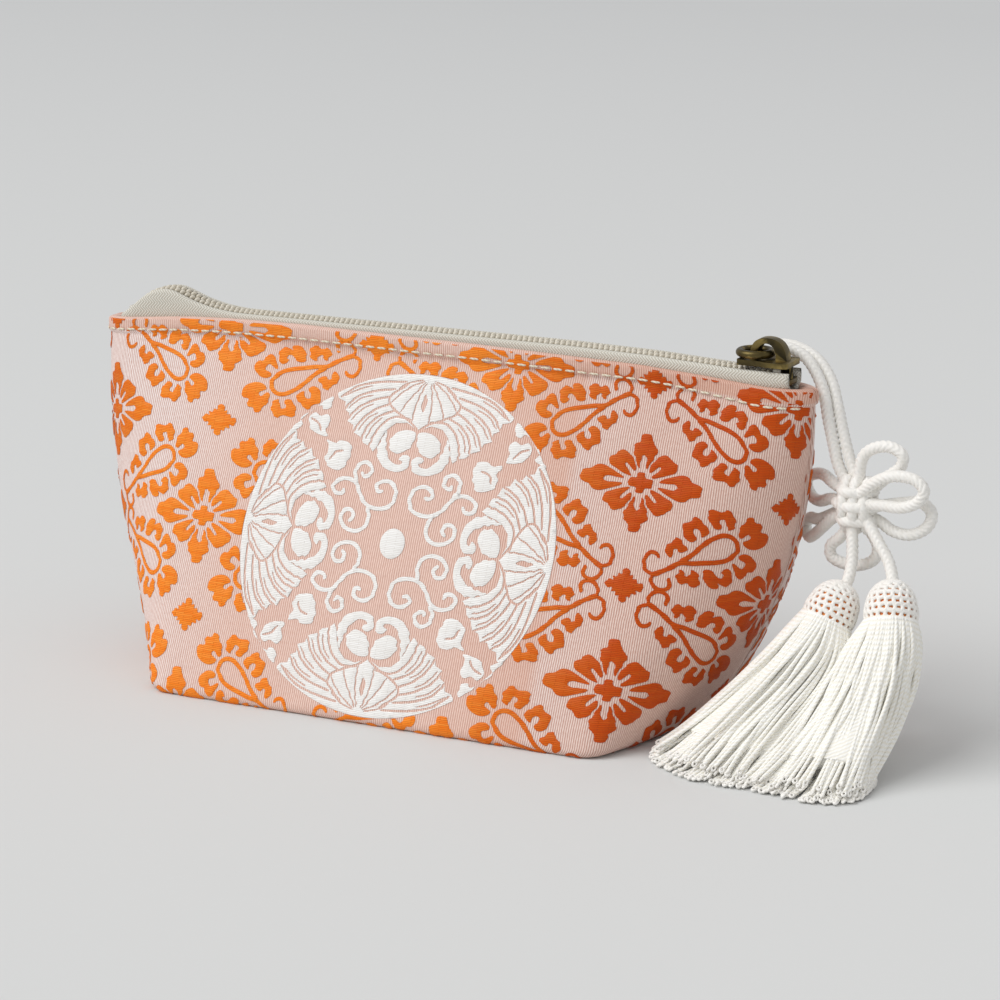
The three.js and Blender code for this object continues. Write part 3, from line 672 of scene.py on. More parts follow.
def roll(drop):
    """How far the rolled rim stands out from the wall, at a drop below its top."""
    return 0.5 * min(max((4.3 - drop) / 0.5, 0), 1) - 0.9 * max(0, 1 - drop / 0.8) ** 2


def on_cloth(s, t, back=False):
    """Place on the outside of the cloth, in millimetres."""
    if t < row_t[0]:
        x, y, z = abs(s), FOLD_Y - (row_t[0] - t), 0.12
    else:
        i = min(max(int(np.searchsorted(row_t, t)) - 1, 0), len(row_t) - 2)
        w = min(max((t - row_t[i]) / (row_t[i + 1] - row_t[i]), 0), 1)
        spots = []
        for j in (i, i + 1):
            spots.append([np.interp(abs(s), row_s[j], row_xy[j, :, k]) for k in (0, 1)])
        x, y = (mix(spots[0][k], spots[1][k], w) for k in (0, 1))
        z = mix(row_z[i], row_z[i + 1], w) + max(0, t - PANEL_TOP)
    x = math.copysign(x, s)
    return Vector((-x, y, z)) if back else Vector((x, -y, z))


def cloth_normal(s, t, back=False):
    lean_s = on_cloth(s + 0.7, t, back) - on_cloth(s - 0.7, t, back)
    lean_t = on_cloth(s, t + 0.7, back) - on_cloth(s, t - 0.7, back)
    return lean_s.cross(lean_t).normalized()


# Silk ground: pale pink warp ribs 0.6 mm apart over salmon weft, a denser salmon behind the
# medallion, and the rolled rim, where the ribs are pushed together
# Painted shade: the ground and the orange floats are darkened across this span of s, towards the right-hand end
PAINTED_SHADE_SPAN = (15.0, 62.0)
brocade_ground, tree = new_finish("woven_silk_ground")
cloth_uv = add(tree, "ShaderNodeUVMap", uv_map="weave")
parts = add(tree, "ShaderNodeSeparateXYZ", {"Vector": cloth_uv})
drift = add(tree, "ShaderNodeTexNoise", {"Vector": cloth_uv, "Scale": 0.12, "Detail": 2.0})
shifted = maths(tree, "MULTIPLY_ADD", drift.outputs["Fac"], 0.6, parts.outputs["X"])
turns = maths(tree, "MULTIPLY", shifted, 2 * math.pi / 0.6)
wave = maths(tree, "COSINE", turns)
rib = remap(tree, wave, -0.9, 0.1)
stretch = add(tree, "ShaderNodeMapping", {"Vector": cloth_uv, "Scale": (1.6, 1.1, 1.0)})
picks = add(tree, "ShaderNodeTexNoise", {"Vector": stretch, "Scale": 1.0, "Detail": 3.0})
pick_edge = remap(tree, picks.outputs["Fac"], 0.25, 0.6, 0.6)
cover = maths(tree, "MULTIPLY", rib, pick_edge)
open_ground = tint(tree, cover, "#C99F92", "#F8EBE6")
close_ground = tint(tree, cover, "#CFA08E", "#F0D2C5")
left_edge = remap(tree, parts.outputs["X"], -75.0, -40.0)
right_edge = remap(tree, parts.outputs["X"], 41.5, 45.0, 1.0, 0.0)
band = maths(tree, "MULTIPLY", left_edge, right_edge)
drop = add(tree, "ShaderNodeAttribute", attribute_name="drop")
rolled = remap(tree, drop.outputs["Fac"], 3.1, 3.5, 1.0, 0.0)
denser = maths(tree, "MAXIMUM", band, rolled)
tone = tint(tree, denser, open_ground, close_ground)
bump = relief(tree, cover, 0.4, 0.0003)
fine_bump = relief(tree, drift.outputs["Fac"], 0.25, 0.002, bump)
# Painted shade: from s 15 to 62 the ground's colour is multiplied by a deeper peach, where the cloth curves away from
# the light
ground_painted_shade = remap(tree, parts.outputs["X"], *PAINTED_SHADE_SPAN)
tone = tint(tree, ground_painted_shade, tone, "#F0E2DA", "MULTIPLY")
end_finish(tree, {"Base Color": tone, "Roughness": 0.6, "Specular IOR Level": 0.3, "Normal": fine_bump})

# Shell: the outside, the rolled rim, the inside of the wall and the floor as one closed skin.
# A row is a share of the wall's height, or a drop below the rim, with an inset from the outside.
shell_rows = [("fold", turn, 0.0) for turn in np.linspace(0, math.pi / 2, 7)[:-1]]
shell_rows += [("share", share, 0.0) for share in np.linspace(0, 1, 56)]
shell_rows += [("drop", drop, -roll(drop)) for drop in (4.3, 4.0, 3.7, 2.2, 0.9, 0.45, 0.12, 0.0)]
shell_rows += [("drop", 0.0, 1.3), ("drop", 0.4, 1.9)]
shell_rows += [("share", share, float(CLOTH_WALL)) for share in np.linspace(1, 0.04, 12)]
shell_rows += [("floor", CLOTH_WALL, CLOTH_WALL + 0.6 * BASE_FOLD)]
level_z = np.linspace(0, HEIGHT, 173)
levels = [np.array([[tuple(p) for p in quarter_outline(z, inset)] for z in level_z]) for inset in (0.0, 1.0)]
points_a_lap = levels[0].shape[1]


def section_point(z, inset, k):
    """Point k of the quarter outline at a height, read from the table of levels."""
    place = min(max(z / HEIGHT * (len(level_z) - 1), 0), len(level_z) - 1.001)
    i, w = int(place), place % 1
    plain, shrunk = (mix(level[i, k], level[i + 1, k], w) for level in levels)
    return plain + (shrunk - plain) * inset


def shell_row(kind, value, inset):
    """One lap of the shell, from the front middle round by the right, with its cloth places."""
    lap = []
    for quarter in range(4):
        sx, sy = ((1, -1), (1, 1), (-1, 1), (-1, -1))[quarter]
        order = range(points_a_lap) if quarter % 2 == 0 else range(points_a_lap - 2, 0, -1)
        for k in order:
            rim_z = HEIGHT + rim_arch(sx * levels[0][-1, k, 0])
            if kind == "fold":
                z, off = BASE_FOLD * (1 - math.cos(value)), BASE_FOLD * (1 - math.sin(value))
            elif kind == "share":
                z, off = mix(BASE_FOLD, rim_z - ROLL_FOOT, value), inset
            elif kind == "drop":
                z, off = rim_z - value, inset
            else:
                z, off = value, inset
            x, y = section_point(z, off, k)
            lap.append((sx * x, sy * y, z, rim_z, k))
    return lap


shell_points, shell_uv, shell_drop = [], [], []
outline_s = [np.concatenate([[0], np.cumsum(np.linalg.norm(np.diff(level, axis=0), axis=1))]) for level in levels[0]]
for kind, value, inset in shell_rows:
    lap = shell_row(kind, value, inset)
    for x, y, z, rim_z, k in lap:
        shell_points.append((x, y, z))
        s = outline_s[int(round(min(z, HEIGHT) / HEIGHT * (len(level_z) - 1)))][k]
        if kind == "fold":
            t = FOLD_START + BASE_FOLD * value
        else:
            t = float(np.interp(min(z, HEIGHT), row_z, row_t)) + max(0, z - HEIGHT)
        shell_uv.append((s if (x > 0) == (y <= 0) else -s, t))
        shell_drop.append(rim_z - z)
shell = make_piece("brocade_cloth", shell_points, loft_faces(len(shell_rows), len(lap)), brocade_ground)
weave = shell.data.uv_layers.new(name="weave")
for face in shell.data.polygons:
    corners = [shell.data.loops[k].vertex_index for k in face.loop_indices]
    if len(corners) > 4:
        spots = [(shell_points[v][0], -abs(shell_points[v][1])) for v in corners]
    else:
        spots = [shell_uv[v] for v in corners]
        far = max(spots, key=lambda p: abs(p[0]))
        spots = [(math.copysign(p[0], far[0]), p[1]) for p in spots]
    for k, spot in zip(face.loop_indices, spots):
        weave.data[k].uv = spot
drop_mark = shell.data.attributes.new("drop", "FLOAT", "POINT")
drop_mark.data.foreach_set("value", shell_drop)
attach(shell, "pouch")
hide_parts("brocade_shell")

# Woven flowers: weft floats of satin silk, thick enough to stand a little proud of the ground.
# Each outline is drawn in millimetres about its own centre and laid on the cloth.
MEDALLION_AT = (-1.0, 46.4)
MEDALLION_RADIUS = 44.0
PATTERN_TILT = math.radians(-1.7)
COLUMN, ROW = 40.07, 25.6
FIRST_FLOWER = (-56.6, -1.3)
FLOAT_EDGE = 0.1
FLOAT_CROWN = 0.3
BASE_REACH, BASE_MIDDLE = 57, -44


def thread_step(y):
    """Sideways step of a float's end: each pair of weft threads turns back at its own place."""
    pair = math.floor(y / 0.55)
    return 0.2 * math.sin(pair * 127.1 + 0.7 * math.sin(pair * 3.3))


def closed_curve(points, spacing=0.36):
    """Round outline through points, in even steps, with the stepped edge of woven floats."""
    ring = [Vector(p) for p in points]
    count = len(ring)
    fine = []
    for i in range(count):
        a, b, c, d = (ring[(i + k) % count] for k in (-1, 0, 1, 2))
        for k in range(6):
            t = k / 6
            fine.append(0.5 * (2 * b + (c - a) * t + (2 * a - 5 * b + 4 * c - d) * t * t
                               + (3 * b - a - 3 * c + d) * t ** 3))
    fine = np.array([tuple(p) for p in fine + [fine[0]]])
    run = np.concatenate([[0], np.cumsum(np.linalg.norm(np.diff(fine, axis=0), axis=1))])
    steps = max(8, round(run[-1] / spacing))
    even = np.linspace(0, run[-1], steps + 1)[:-1]
    ring = [(float(np.interp(s, run, fine[:, 0])), float(np.interp(s, run, fine[:, 1]))) for s in even]
    return [(x + thread_step(y), y) for x, y in ring]


def stroke(points, width, ends=0.5):
    """Outline of a line of even width with rounded ends, through points."""
    line = [Vector((p[0], p[1], 0)) for p in points]
    path, _ = even_route([tuple(p) for p in line], 0.45)
    left, right = [], []
    for i, p in enumerate(path):
        way = (path[min(i + 1, len(path) - 1)] - path[max(i - 1, 0)]).normalized()
        side = Vector((-way.y, way.x, 0)) * width / 2
        near = min(i, len(path) - 1 - i)
        pinch = 1 if near > 1 else (0.85 if near == 1 else ends)
        left.append((p.x + side.x * pinch, p.y + side.y * pinch))
        right.append((p.x - side.x * pinch, p.y - side.y * pinch))
    return [(x + 0.7 * thread_step(y), y) for x, y in left + right[::-1]]


def inside(loop, spots):
    """Which of the spots lie inside a closed loop."""
    loop = np.array(loop)
    nxt = np.roll(loop, -1, axis=0)
    x, y = spots[:, 0][:, None], spots[:, 1][:, None]
    crosses = (loop[:, 1] > y) != (nxt[:, 1] > y)
    rise = np.where(np.abs(nxt[:, 1] - loop[:, 1]) < 1e-9, 1e-9, nxt[:, 1] - loop[:, 1])
    at = loop[:, 0] + (y - loop[:, 1]) * (nxt[:, 0] - loop[:, 0]) / rise
    return (crosses & (x < at)).sum(axis=1) % 2 == 1


def fill(shapes, cuts=(), grid=1.0):
    """Triangles that fill the shapes and leave the cuts open, and which points lie on an edge."""
    loops = list(shapes) + list(cuts)
    spots, edges = [], []
    for loop in loops:
        start = len(spots)
        spots += [Vector(p) for p in loop]
        edges += [(start + k, start + (k + 1) % len(loop)) for k in range(len(loop))]
    border = np.array([tuple(p) for p in spots])
    low, high = border.min(axis=0), border.max(axis=0)
    gx, gy = np.meshgrid(np.arange(low[0], high[0], grid), np.arange(low[1], high[1], grid * 0.87))
    gx[1::2] += grid / 2
    inner = np.column_stack([gx.ravel(), gy.ravel()])
    wanted = np.zeros(len(inner), bool)
    for loop in shapes:
        wanted |= inside(loop, inner)
    for loop in cuts:
        wanted &= ~inside(loop, inner)
    inner = inner[wanted]
    gap = np.array([np.min(np.abs(border - p).sum(axis=1)) for p in inner]) if len(inner) else np.zeros(0)
    spots += [Vector(p) for p in inner[gap > 0.45 * grid]] if len(inner) else []
    points, _, triangles, _, _, _ = delaunay_2d_cdt(spots, edges, [], 0, 1e-5)
    points = np.array([tuple(p) for p in points])
    triangles = np.array(triangles)
    centres = points[triangles].mean(axis=1)
    kept = np.zeros(len(triangles), bool)
    for loop in shapes:
        kept |= inside(loop, centres)
    for loop in cuts:
        kept &= ~inside(loop, centres)
    triangles = triangles[kept]
    a, b, c = (points[triangles[:, k]] for k in range(3))
    turn = (b[:, 0] - a[:, 0]) * (c[:, 1] - a[:, 1]) - (b[:, 1] - a[:, 1]) * (c[:, 0] - a[:, 0])
    triangles[turn < 0] = triangles[turn < 0][:, ::-1]
    used = {}
    for tri in triangles:
        for p, q in ((0, 1), (1, 2), (2, 0)):
            key = tuple(sorted((int(tri[p]), int(tri[q]))))
            used[key] = used.get(key, 0) + 1
    rim_points = {v for key, times in used.items() if times == 1 for v in key}
    names = {int(v): k for k, v in enumerate(sorted({int(v) for v in triangles.ravel()}))}
    edge = np.array([v in rim_points for v in sorted(names, key=names.get)])
    return points[sorted(names, key=names.get)], np.array([[names[int(v)] for v in t] for t in triangles]), edge


def mirrored(points, x=1, y=1):
    return [(px * x, py * y) for px, py in points]


# Eight-petalled flower, with a cross in its middle and a slot in each petal
NORTH = [(0, 12.4), (1.2, 12.2), (1.6, 11.2), (1.9, 10.2), (3, 9.4), (3.3, 8), (2.6, 6.4), (1.9, 5), (1.4, 3.9),
         (0.9, 3.6), (0.85, 5), (0.7, 6.4), (0, 7)]
EAST = [(16.6, 0), (16.4, 1.2), (15.2, 1.7), (13.9, 2), (12.6, 3.1), (10.8, 3.3), (8.6, 2.6), (6.6, 1.8), (5.2, 1.1),
        (5, 0.6), (7.2, 0.65), (9.2, 0.75), (10.2, 0)]
NORTH_EAST = [(1.8, 3.3), (2.4, 5), (3.9, 6.8), (5.8, 7.7), (7.3, 7), (8.1, 6.2), (9.4, 5.5), (9.1, 3.7), (7.2, 2.8),
              (5, 1.9), (3, 1.4), (3, 2), (4.9, 4), (4.4, 4.5), (2.4, 2.8)]
CROSS = [(3.3, 0.5), (2.9, 1.1), (1.5, 1.2), (1.1, 1.6), (1, 2.4), (0.5, 2.6)]
flower_shapes = []
for side in (1, -1):
    flower_shapes.append(closed_curve(mirrored(NORTH, 1, side) + mirrored(NORTH[1:-1], -1, side)[::-1]))
    flower_shapes.append(closed_curve(mirrored(EAST, side, 1) + mirrored(EAST[1:-1], side, -1)[::-1]))
    flower_shapes += [closed_curve(mirrored(NORTH_EAST, side, up)) for up in (1, -1)]
flower_shapes.append(closed_curve(CROSS + mirrored(CROSS, -1, 1)[::-1] + mirrored(CROSS, -1, -1)
                                  + mirrored(CROSS, 1, -1)[::-1]))
STAR = [(5, 0.2), (4.3, 1.1), (3.1, 0.9), (3.2, 1.9), (2.1, 1.8), (1.9, 2.8), (1, 2.6), (1, 3.7), (0.2, 4.2)]
star_shapes = [closed_curve(STAR + mirrored(STAR, -1, 1)[::-1] + mirrored(STAR, -1, -1)
                            + mirrored(STAR, 1, -1)[::-1])]

# Paisley: an open drop whose outline crosses to a tail with two curls, among seven leaves
DROP = [(6.4, 5.1), (4.1, 4.9), (1.2, 4.2), (-2.1, 3.4), (-4.4, 2.5), (-6.2, 1), (-7.2, -0.7), (-6.8, -2.3),
        (-5.3, -3.5),
        (-3.2, -3.5), (-1.1, -2.4), (1.3, -0.4), (3.1, 1.7), (4.9, 3.6), (7, 5)]
TAIL = [(4.5, 4.8), (7, 5.4), (8.6, 6.5), (10.6, 7.8), (12.7, 8.9), (13.9, 9.3)]
CURLS = [[(13.2, 9), (15, 8.4), (15.8, 6.9), (15.5, 4.8), (14.3, 3.7), (12.8, 4), (12.2, 4.9)],
         [(13.4, 9), (13.4, 10.6), (12.8, 11.8), (11.3, 12.6), (9.5, 12.2), (8.7, 10.8), (9.4, 9.4)]]
LEAVES = [
    [(1.8, 7.5), (1.5, 9.4), (2.2, 10.4), (3.5, 10.5), (4.5, 9.8), (5.8, 10.4), (7.3, 9.5), (7.5, 8.6), (6.8, 7.9),
     (7, 7), (6.3, 6.9), (5.6, 7.4), (5, 8.2), (4.4, 8.1), (4, 7.5), (4.1, 6.7), (3.2, 6.4), (2.1, 7.1)],
    [(-6.6, 6.6), (-6.5, 8.1), (-5.2, 9), (-4, 8.8), (-3.2, 8.4), (-3.1, 9.7), (-1.9, 10), (-0.4, 9.5), (0.2, 8.5),
     (0.9, 7.3), (0.8, 6), (-0.3, 5.5), (-1.6, 5.7), (-2.2, 6.4), (-2.7, 7), (-3.5, 7.1), (-4.1, 6.7), (-4.5, 6.1),
     (-3.7, 5.7), (-4.1, 4.8), (-5.3, 4.4), (-6.4, 5.4)],
    [(-12.8, 3.1), (-11.8, 4.4), (-10.5, 4.6), (-9.9, 5.9), (-8.9, 6.6), (-7.9, 6.2), (-7, 5), (-6.2, 3.1),
     (-6.9, 2.9), (-7.8, 3.5), (-8.8, 3.9), (-9.6, 3), (-9.4, 2.2), (-8.1, 1.8), (-7.7, 1.2), (-8.5, 0.2),
     (-10, 0.1), (-11.4, 0.7), (-12.3, 1.7)],
    [(-14.7, -3.4), (-13.4, -2.1), (-11.8, -1.4), (-10.1, -1.4), (-8.7, -2), (-8.2, -2.8), (-9.2, -3.4),
     (-10.1, -3.9), (-10.2, -4.5), (-9.4, -4.9), (-8.2, -3.8), (-7.3, -3.8), (-7, -5), (-7.3, -6.3), (-8.1, -7.6),
     (-9.3, -9.2), (-10.6, -9.3), (-11.2, -8.2), (-12.3, -8.2), (-12.9, -7), (-12.9, -6), (-14.2, -5.9), (-15, -4.8)],
    [(-6, -7.1), (-5.8, -5.8), (-4.8, -5.2), (-4.2, -5), (-4, -5.8), (-3.5, -7), (-2.7, -7.4), (-2, -6.8),
     (-2.5, -5.7), (-2.3, -4.8), (-0.9, -4.7), (0.2, -5.7), (0.9, -6.9), (1.1, -8.3), (0.1, -9.2), (-1.6, -9.1),
     (-2.6, -9.1), (-3.4, -9.9), (-4.7, -9.6), (-5.7, -8.5)],
    [(0.3, -3.6), (1.2, -2.5), (2.2, -1.9), (2.6, -3.1), (3.3, -3.7), (4.3, -3.5), (4.3, -2.4), (3.2, -1.4),
     (4, -0.5),
     (5.3, -0.3), (6.5, -1.3), (7.2, -3.2), (7.1, -4.4), (6, -4.9), (5.2, -5.5), (4.2, -6.6), (2.9, -6.2),
     (2.1, -5.2), (1, -4.8)],
    [(5.4, 1.8), (6.6, 2.7), (7.5, 2.7), (8.1, 2), (8.9, 2.3), (8.7, 3.3), (9.3, 4.4), (10.3, 3.8), (11, 2.6),
     (10.6, 1.3), (9.6, 0.9), (9.2, 0), (8.6, -0.8), (7.3, -0.4), (6.5, 0.6), (5.6, 1)],
]
paisley_shapes = [stroke(DROP, 1.15), stroke(TAIL, 1.2)] + [stroke(curl, 1.0) for curl in CURLS]
paisley_shapes += [closed_curve(leaf) for leaf in LEAVES]
flower = fill(flower_shapes)
star = fill(star_shapes)
paisley = fill(paisley_shapes)


def crease(t):
    """Where the front turns into the gusset."""
    return 63 + 32 * min(max(t / PANEL_TOP, 0), 1)


def weave_place(x, y):
    """Pattern place to cloth place: the pattern is woven square, and the gusset folds it down."""
    s = MEDALLION_AT[0] + x * math.cos(PATTERN_TILT) - y * math.sin(PATTERN_TILT)
    t = MEDALLION_AT[1] + x * math.sin(PATTERN_TILT) + y * math.cos(PATTERN_TILT)
    beyond = abs(s) - crease(t) + 4
    beyond = 0.5 * (beyond + math.sqrt(beyond * beyond + 30)) if t > 0 else 0
    turn = math.radians(12)
    s, t = math.copysign(abs(s) - beyond * (1 - math.cos(turn)), s), t - beyond * math.sin(turn)
    # The darted corners pull the pattern in at the rim and out at the base
    far = max(0, abs(s) - 22) / 40
    if s > 0:
        return s + (43 - t) * 0.055 * far, t
    return s + (46 - t) * 0.08 * min(1, far) + 4.5 * min(max((-s - 60) / 36, 0), 1), t


def lay_on_cloth(motifs, back, points, faces, uv, keep_out):
    """Lays (fill, x, y, flip_x, flip_y) motifs on one side of the cloth."""
    for (spots, triangles, edge), x, y, fx, fy in motifs:
        placed = [weave_place(x + fx * px, y + fy * py) for px, py in spots]
        hidden = []
        for k, (s, t) in enumerate(placed):
            limit = half_width(t) - 0.5 if t > row_t[0] else BASE_REACH
            high = rim_t(s, back) - 0.4
            out = abs(s) > limit or t > high or t < BASE_MIDDLE
            s = math.copysign(min(abs(s), limit), s)
            t = min(max(t, BASE_MIDDLE), high)
            if keep_out:
                dx, dy = s - MEDALLION_AT[0], t - MEDALLION_AT[1]
                reach = math.hypot(dx, dy)
                if reach < MEDALLION_RADIUS + 0.15:
                    out = True
                    grow = (MEDALLION_RADIUS + 0.15) / max(reach, 1e-6)
                    s, t = MEDALLION_AT[0] + dx * grow, MEDALLION_AT[1] + dy * grow
            placed[k] = (s, t)
            hidden.append(out)
        wanted = [tri for tri in triangles if not all(hidden[v] for v in tri)]
        names = {}
        for tri in wanted:
            for v in tri:
                if int(v) not in names:
                    s, t = placed[v]
                    lift = FLOAT_EDGE if edge[v] or hidden[v] else FLOAT_CROWN
                    lift = 0.05 if t < row_t[0] else lift + roll(rim_t(s, back) - t)
                    names[int(v)] = len(points)
                    points.append(on_cloth(s, t, back) + cloth_normal(s, t, back) * lift)
                    uv.append((s, t))
            corner = [names[int(v)] for v in tri]
            faces.append(tuple(corner if fx * fy > 0 else corner[::-1]))


motif_points, motif_faces, motif_uv = [], [], []
for back in (False, True):
    motifs = []
    for i in range(-2, 6):
        for j in range(-4, 3):
            x, y = FIRST_FLOWER[0] + COLUMN * i, FIRST_FLOWER[1] + ROW * j
            motifs.append((flower if (i + j) % 2 == 0 else star, x, y, 1, 1))
            motifs.append((paisley, x + COLUMN / 2, y + ROW / 2, 1 if i % 2 == 0 else -1, 1 if j % 2 else -1))
    lay_on_cloth(motifs, back, motif_points, motif_faces, motif_uv, keep_out=not back)


def uv_piece(name, points, faces, uv, finish):
    piece = make_piece(name, points, faces, finish)
    layer = piece.data.uv_layers.new(name="weave")
    for loop in piece.data.loops:
        layer.data[loop.index].uv = uv[loop.vertex_index]
    return piece


def satin(name, light, dark, groove, deep=None):
    """Floated silk satin: weft threads 0.45 mm apart that lie side by side, each a long float.
    Deep is a painted shade: the floats' colour is multiplied by it where the cloth curves away from the light, from s
    15 on the right and beyond s -78 on the left."""
    finish, tree = new_finish(name)
    cloth_uv = add(tree, "ShaderNodeUVMap", uv_map="weave")
    shift = add(tree, "ShaderNodeTexNoise", {"Vector": cloth_uv, "Scale": 0.35, "Detail": 2.0})
    bent = add(tree, "ShaderNodeVectorMath", {0: shift.outputs["Color"], 1: (0.0, 0.5, 0.0), 2: cloth_uv},
               operation="MULTIPLY_ADD")
    floats = add(tree, "ShaderNodeTexBrick", {
        "Vector": bent, "Scale": 1.0, "Brick Width": 5.2, "Row Height": 0.45, "Mortar Size": 0.06,
        "Mortar Smooth": 1.0, "Bias": 0.0, "Color1": linear(light), "Color2": linear(dark), "Mortar": linear(groove)})
    stretch = add(tree, "ShaderNodeMapping", {"Vector": bent, "Scale": (0.3, 2.4, 1.0)})
    streak = add(tree, "ShaderNodeTexNoise", {"Vector": stretch, "Scale": 1.0, "Detail": 3.0})
    streak_edge = remap(tree, streak.outputs["Fac"], 0.34, 0.6, 0.55, 0.0)
    tone = tint(tree, streak_edge, floats.outputs["Color"], dark)
    if deep:
        # Painted shade: the floats are darkened towards both ends of the panel, by up to 0.85 on the right and 0.6 on
        # the left
        parts = add(tree, "ShaderNodeSeparateXYZ", {"Vector": cloth_uv})
        right = remap(tree, parts.outputs["X"], *PAINTED_SHADE_SPAN, 0.0, 0.85)
        left = remap(tree, parts.outputs["X"], -78.0, -100.0, 0.0, 0.6)
        float_painted_shade = maths(tree, "MAXIMUM", right, left)
        tone = tint(tree, float_painted_shade, tone, deep, "MULTIPLY")
    bump = add(tree, "ShaderNodeBump", {"Height": floats.outputs["Fac"], "Strength": 0.5, "Distance": 0.0003},
               invert=True)
    end_finish(tree, {"Base Color": tone, "Roughness": 0.45, "Specular IOR Level": 0.15, "Anisotropic": 0.6,
                      "Normal": bump})
    return finish


# Painted shade: deep is the darker orange painted on the floats towards the panel's ends
orange_satin = satin("orange_silk_floats", "#FF9B38", "#FA831E", "#C85A0A", deep="#BB7125")
orange_floats = uv_piece("brocade_flowers", motif_points, motif_faces, motif_uv, orange_satin)
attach(orange_floats, "pouch")

# Medallion: a round of white satin floats, four fan palmettes about a dot, with scrolls and
# small leaves in the corners between them
FAN = [(-25.2, 35.5), (-24.5, 34.6), (-22.5, 34.1), (-22.2, 32.1), (-20.6, 31.2), (-20.8, 29.2), (-18.7, 28.3),
       (-18.3, 26.5), (-16, 25.6), (-14.6, 24.1), (-12.8, 23.6), (-11.4, 22.3), (-10.5, 23.9), (-9.9, 26.2),
       (-8.8, 28.5), (-6.7, 30.5), (-3.5, 31), (0, 29.4)]
FAN_LINES = [
    [(-13, 21.9), (-12.3, 26.2), (-10.4, 29.8), (-7.2, 32.1), (-2.6, 31.9)],
    [(-15.7, 24.3), (-14.6, 28.5), (-11.9, 31.6), (-7.6, 33.7)],
    [(-18.5, 26.3), (-16.6, 30.1), (-13.4, 33.2), (-9.2, 35.4)],
    [(-21.2, 29), (-18.6, 32.8), (-14.5, 35.5), (-9.7, 37.2)],
    [(-22.5, 31.9), (-19.7, 35.5), (-15.4, 37.7), (-9, 39.2)],
    [(-24.2, 35), (-19.9, 38.5), (-14.5, 40.3), (-6.3, 41.5)],
    [(0, 29.4), (-2.8, 31.4), (-6.3, 33), (-9.5, 35), (-10.1, 37), (-8.1, 39), (-5.4, 41.2)],
]
FAN_HAIRS = [
    [(-14.3, 25.3), (-13, 28.9), (-10.8, 31.4)], [(-17, 27.1), (-15.1, 30.5), (-12.5, 32.5)],
    [(-19.7, 29.5), (-17.4, 32.5), (-14.3, 34.6)], [(-21.2, 32.5), (-18.5, 35.3), (-14.9, 36.8)],
    [(-23.1, 35.5), (-19.9, 37.5), (-15.8, 39.2)], [(-2.3, 31.4), (-2.3, 34.8), (-1.7, 38.5), (-0.6, 41.9)],
    [(-6.3, 33.2), (-4.9, 36.2), (-2.8, 39.4), (-1, 42.1)], [(-9.4, 35.5), (-7.4, 38), (-4.5, 40.5), (-1.3, 42.3)],
    [(-8.3, 39.4), (-5.4, 41.4), (-1.5, 42.6)],
]
BUD_SLOT = [(0, 39), (-0.6, 37.6), (-0.65, 35.7), (0, 34.2), (0.65, 35.7), (0.6, 37.6)]
OVAL = [(-0.5, 28.8), (-2.8, 29.2), (-5.5, 28.3), (-7.2, 26.2), (-6.8, 23.9), (-4.9, 22.8), (-2.6, 23.5), (-1, 25),
        (-0.4, 27.1)]
HOOK = [(-8.8, 28.3), (-9.7, 25.7), (-10.3, 23.5), (-9.4, 20.7), (-7.2, 18.8), (-4, 18.1), (-1.3, 18.8), (-0.4, 20.3),
        (-0.4, 21.9), (-1.5, 22.8), (-3, 22.5), (-3.4, 21.4), (-2.3, 21), (-2.8, 20.2), (-4.6, 20.1), (-6.3, 21.2),
        (-7.5, 23), (-8.3, 25.5)]
SCROLLS = [
    [(-5.9, 12.8), (-7.3, 12.5), (-8.1, 13.7), (-7, 15), (-4.7, 15.4), (-2.7, 14.1), (-2.1, 11.9), (-3, 9.4),
     (-5.2, 8.3), (-8.4, 8.2), (-10.8, 9.4), (-12.6, 11.6), (-14.1, 13.7), (-16.5, 14.5), (-19, 13.9), (-20.5, 12.1),
     (-19.5, 10.5), (-17.5, 10.6), (-17, 11.9)],
    [(-13.7, 13.7), (-14.9, 15.9), (-14.6, 18.1), (-12.6, 19.4), (-10.6, 18.3), (-10.6, 16.5), (-12.3, 15.7),
     (-13, 16.8)],
    [(-9.4, 8.3), (-8.4, 5.9), (-8.8, 3.2), (-11.1, 1.6), (-14.5, 2.1), (-16.3, 4.3), (-15.5, 6.5), (-13.5, 6.6),
     (-12.8, 5), (-13.9, 3.7)],
]
CORNER_LEAVES = [
    [(-25.2, 23.5), (-22.6, 23), (-21.1, 23.9), (-18.4, 23.5), (-17.5, 21.4), (-18.1, 18.5), (-19.7, 16.2),
     (-23.2, 16.8), (-24.7, 18.9), (-24.1, 21.2)],
    [(-32, 28.5), (-30.6, 30.1), (-28.8, 29.4), (-26.8, 30.1), (-25.6, 28.5), (-26.3, 26.2), (-25.6, 24.4),
     (-28.4, 24.6), (-30.6, 25.5), (-31.4, 26.8)],
    [(-36.6, 24.6), (-33.5, 28.4), (-30.2, 32), (-26.6, 34.9), (-26.3, 33), (-26.8, 31.6), (-28.4, 31.2), (-29, 32.1),
     (-30.6, 31.6), (-31.9, 30.1), (-33.4, 29.2), (-34.3, 27.9), (-33.4, 26.2), (-35, 25)],
]
LEAF_CUTS = [[(-23.2, 18.5), (-22, 20.7), (-19.7, 21.4)], [(-31.4, 28.5), (-29, 27.5), (-27.5, 25.5)]]


def turned_quarter(points, quarters):
    for _ in range(quarters):
        points = [(-y, x) for x, y in points]
    return points


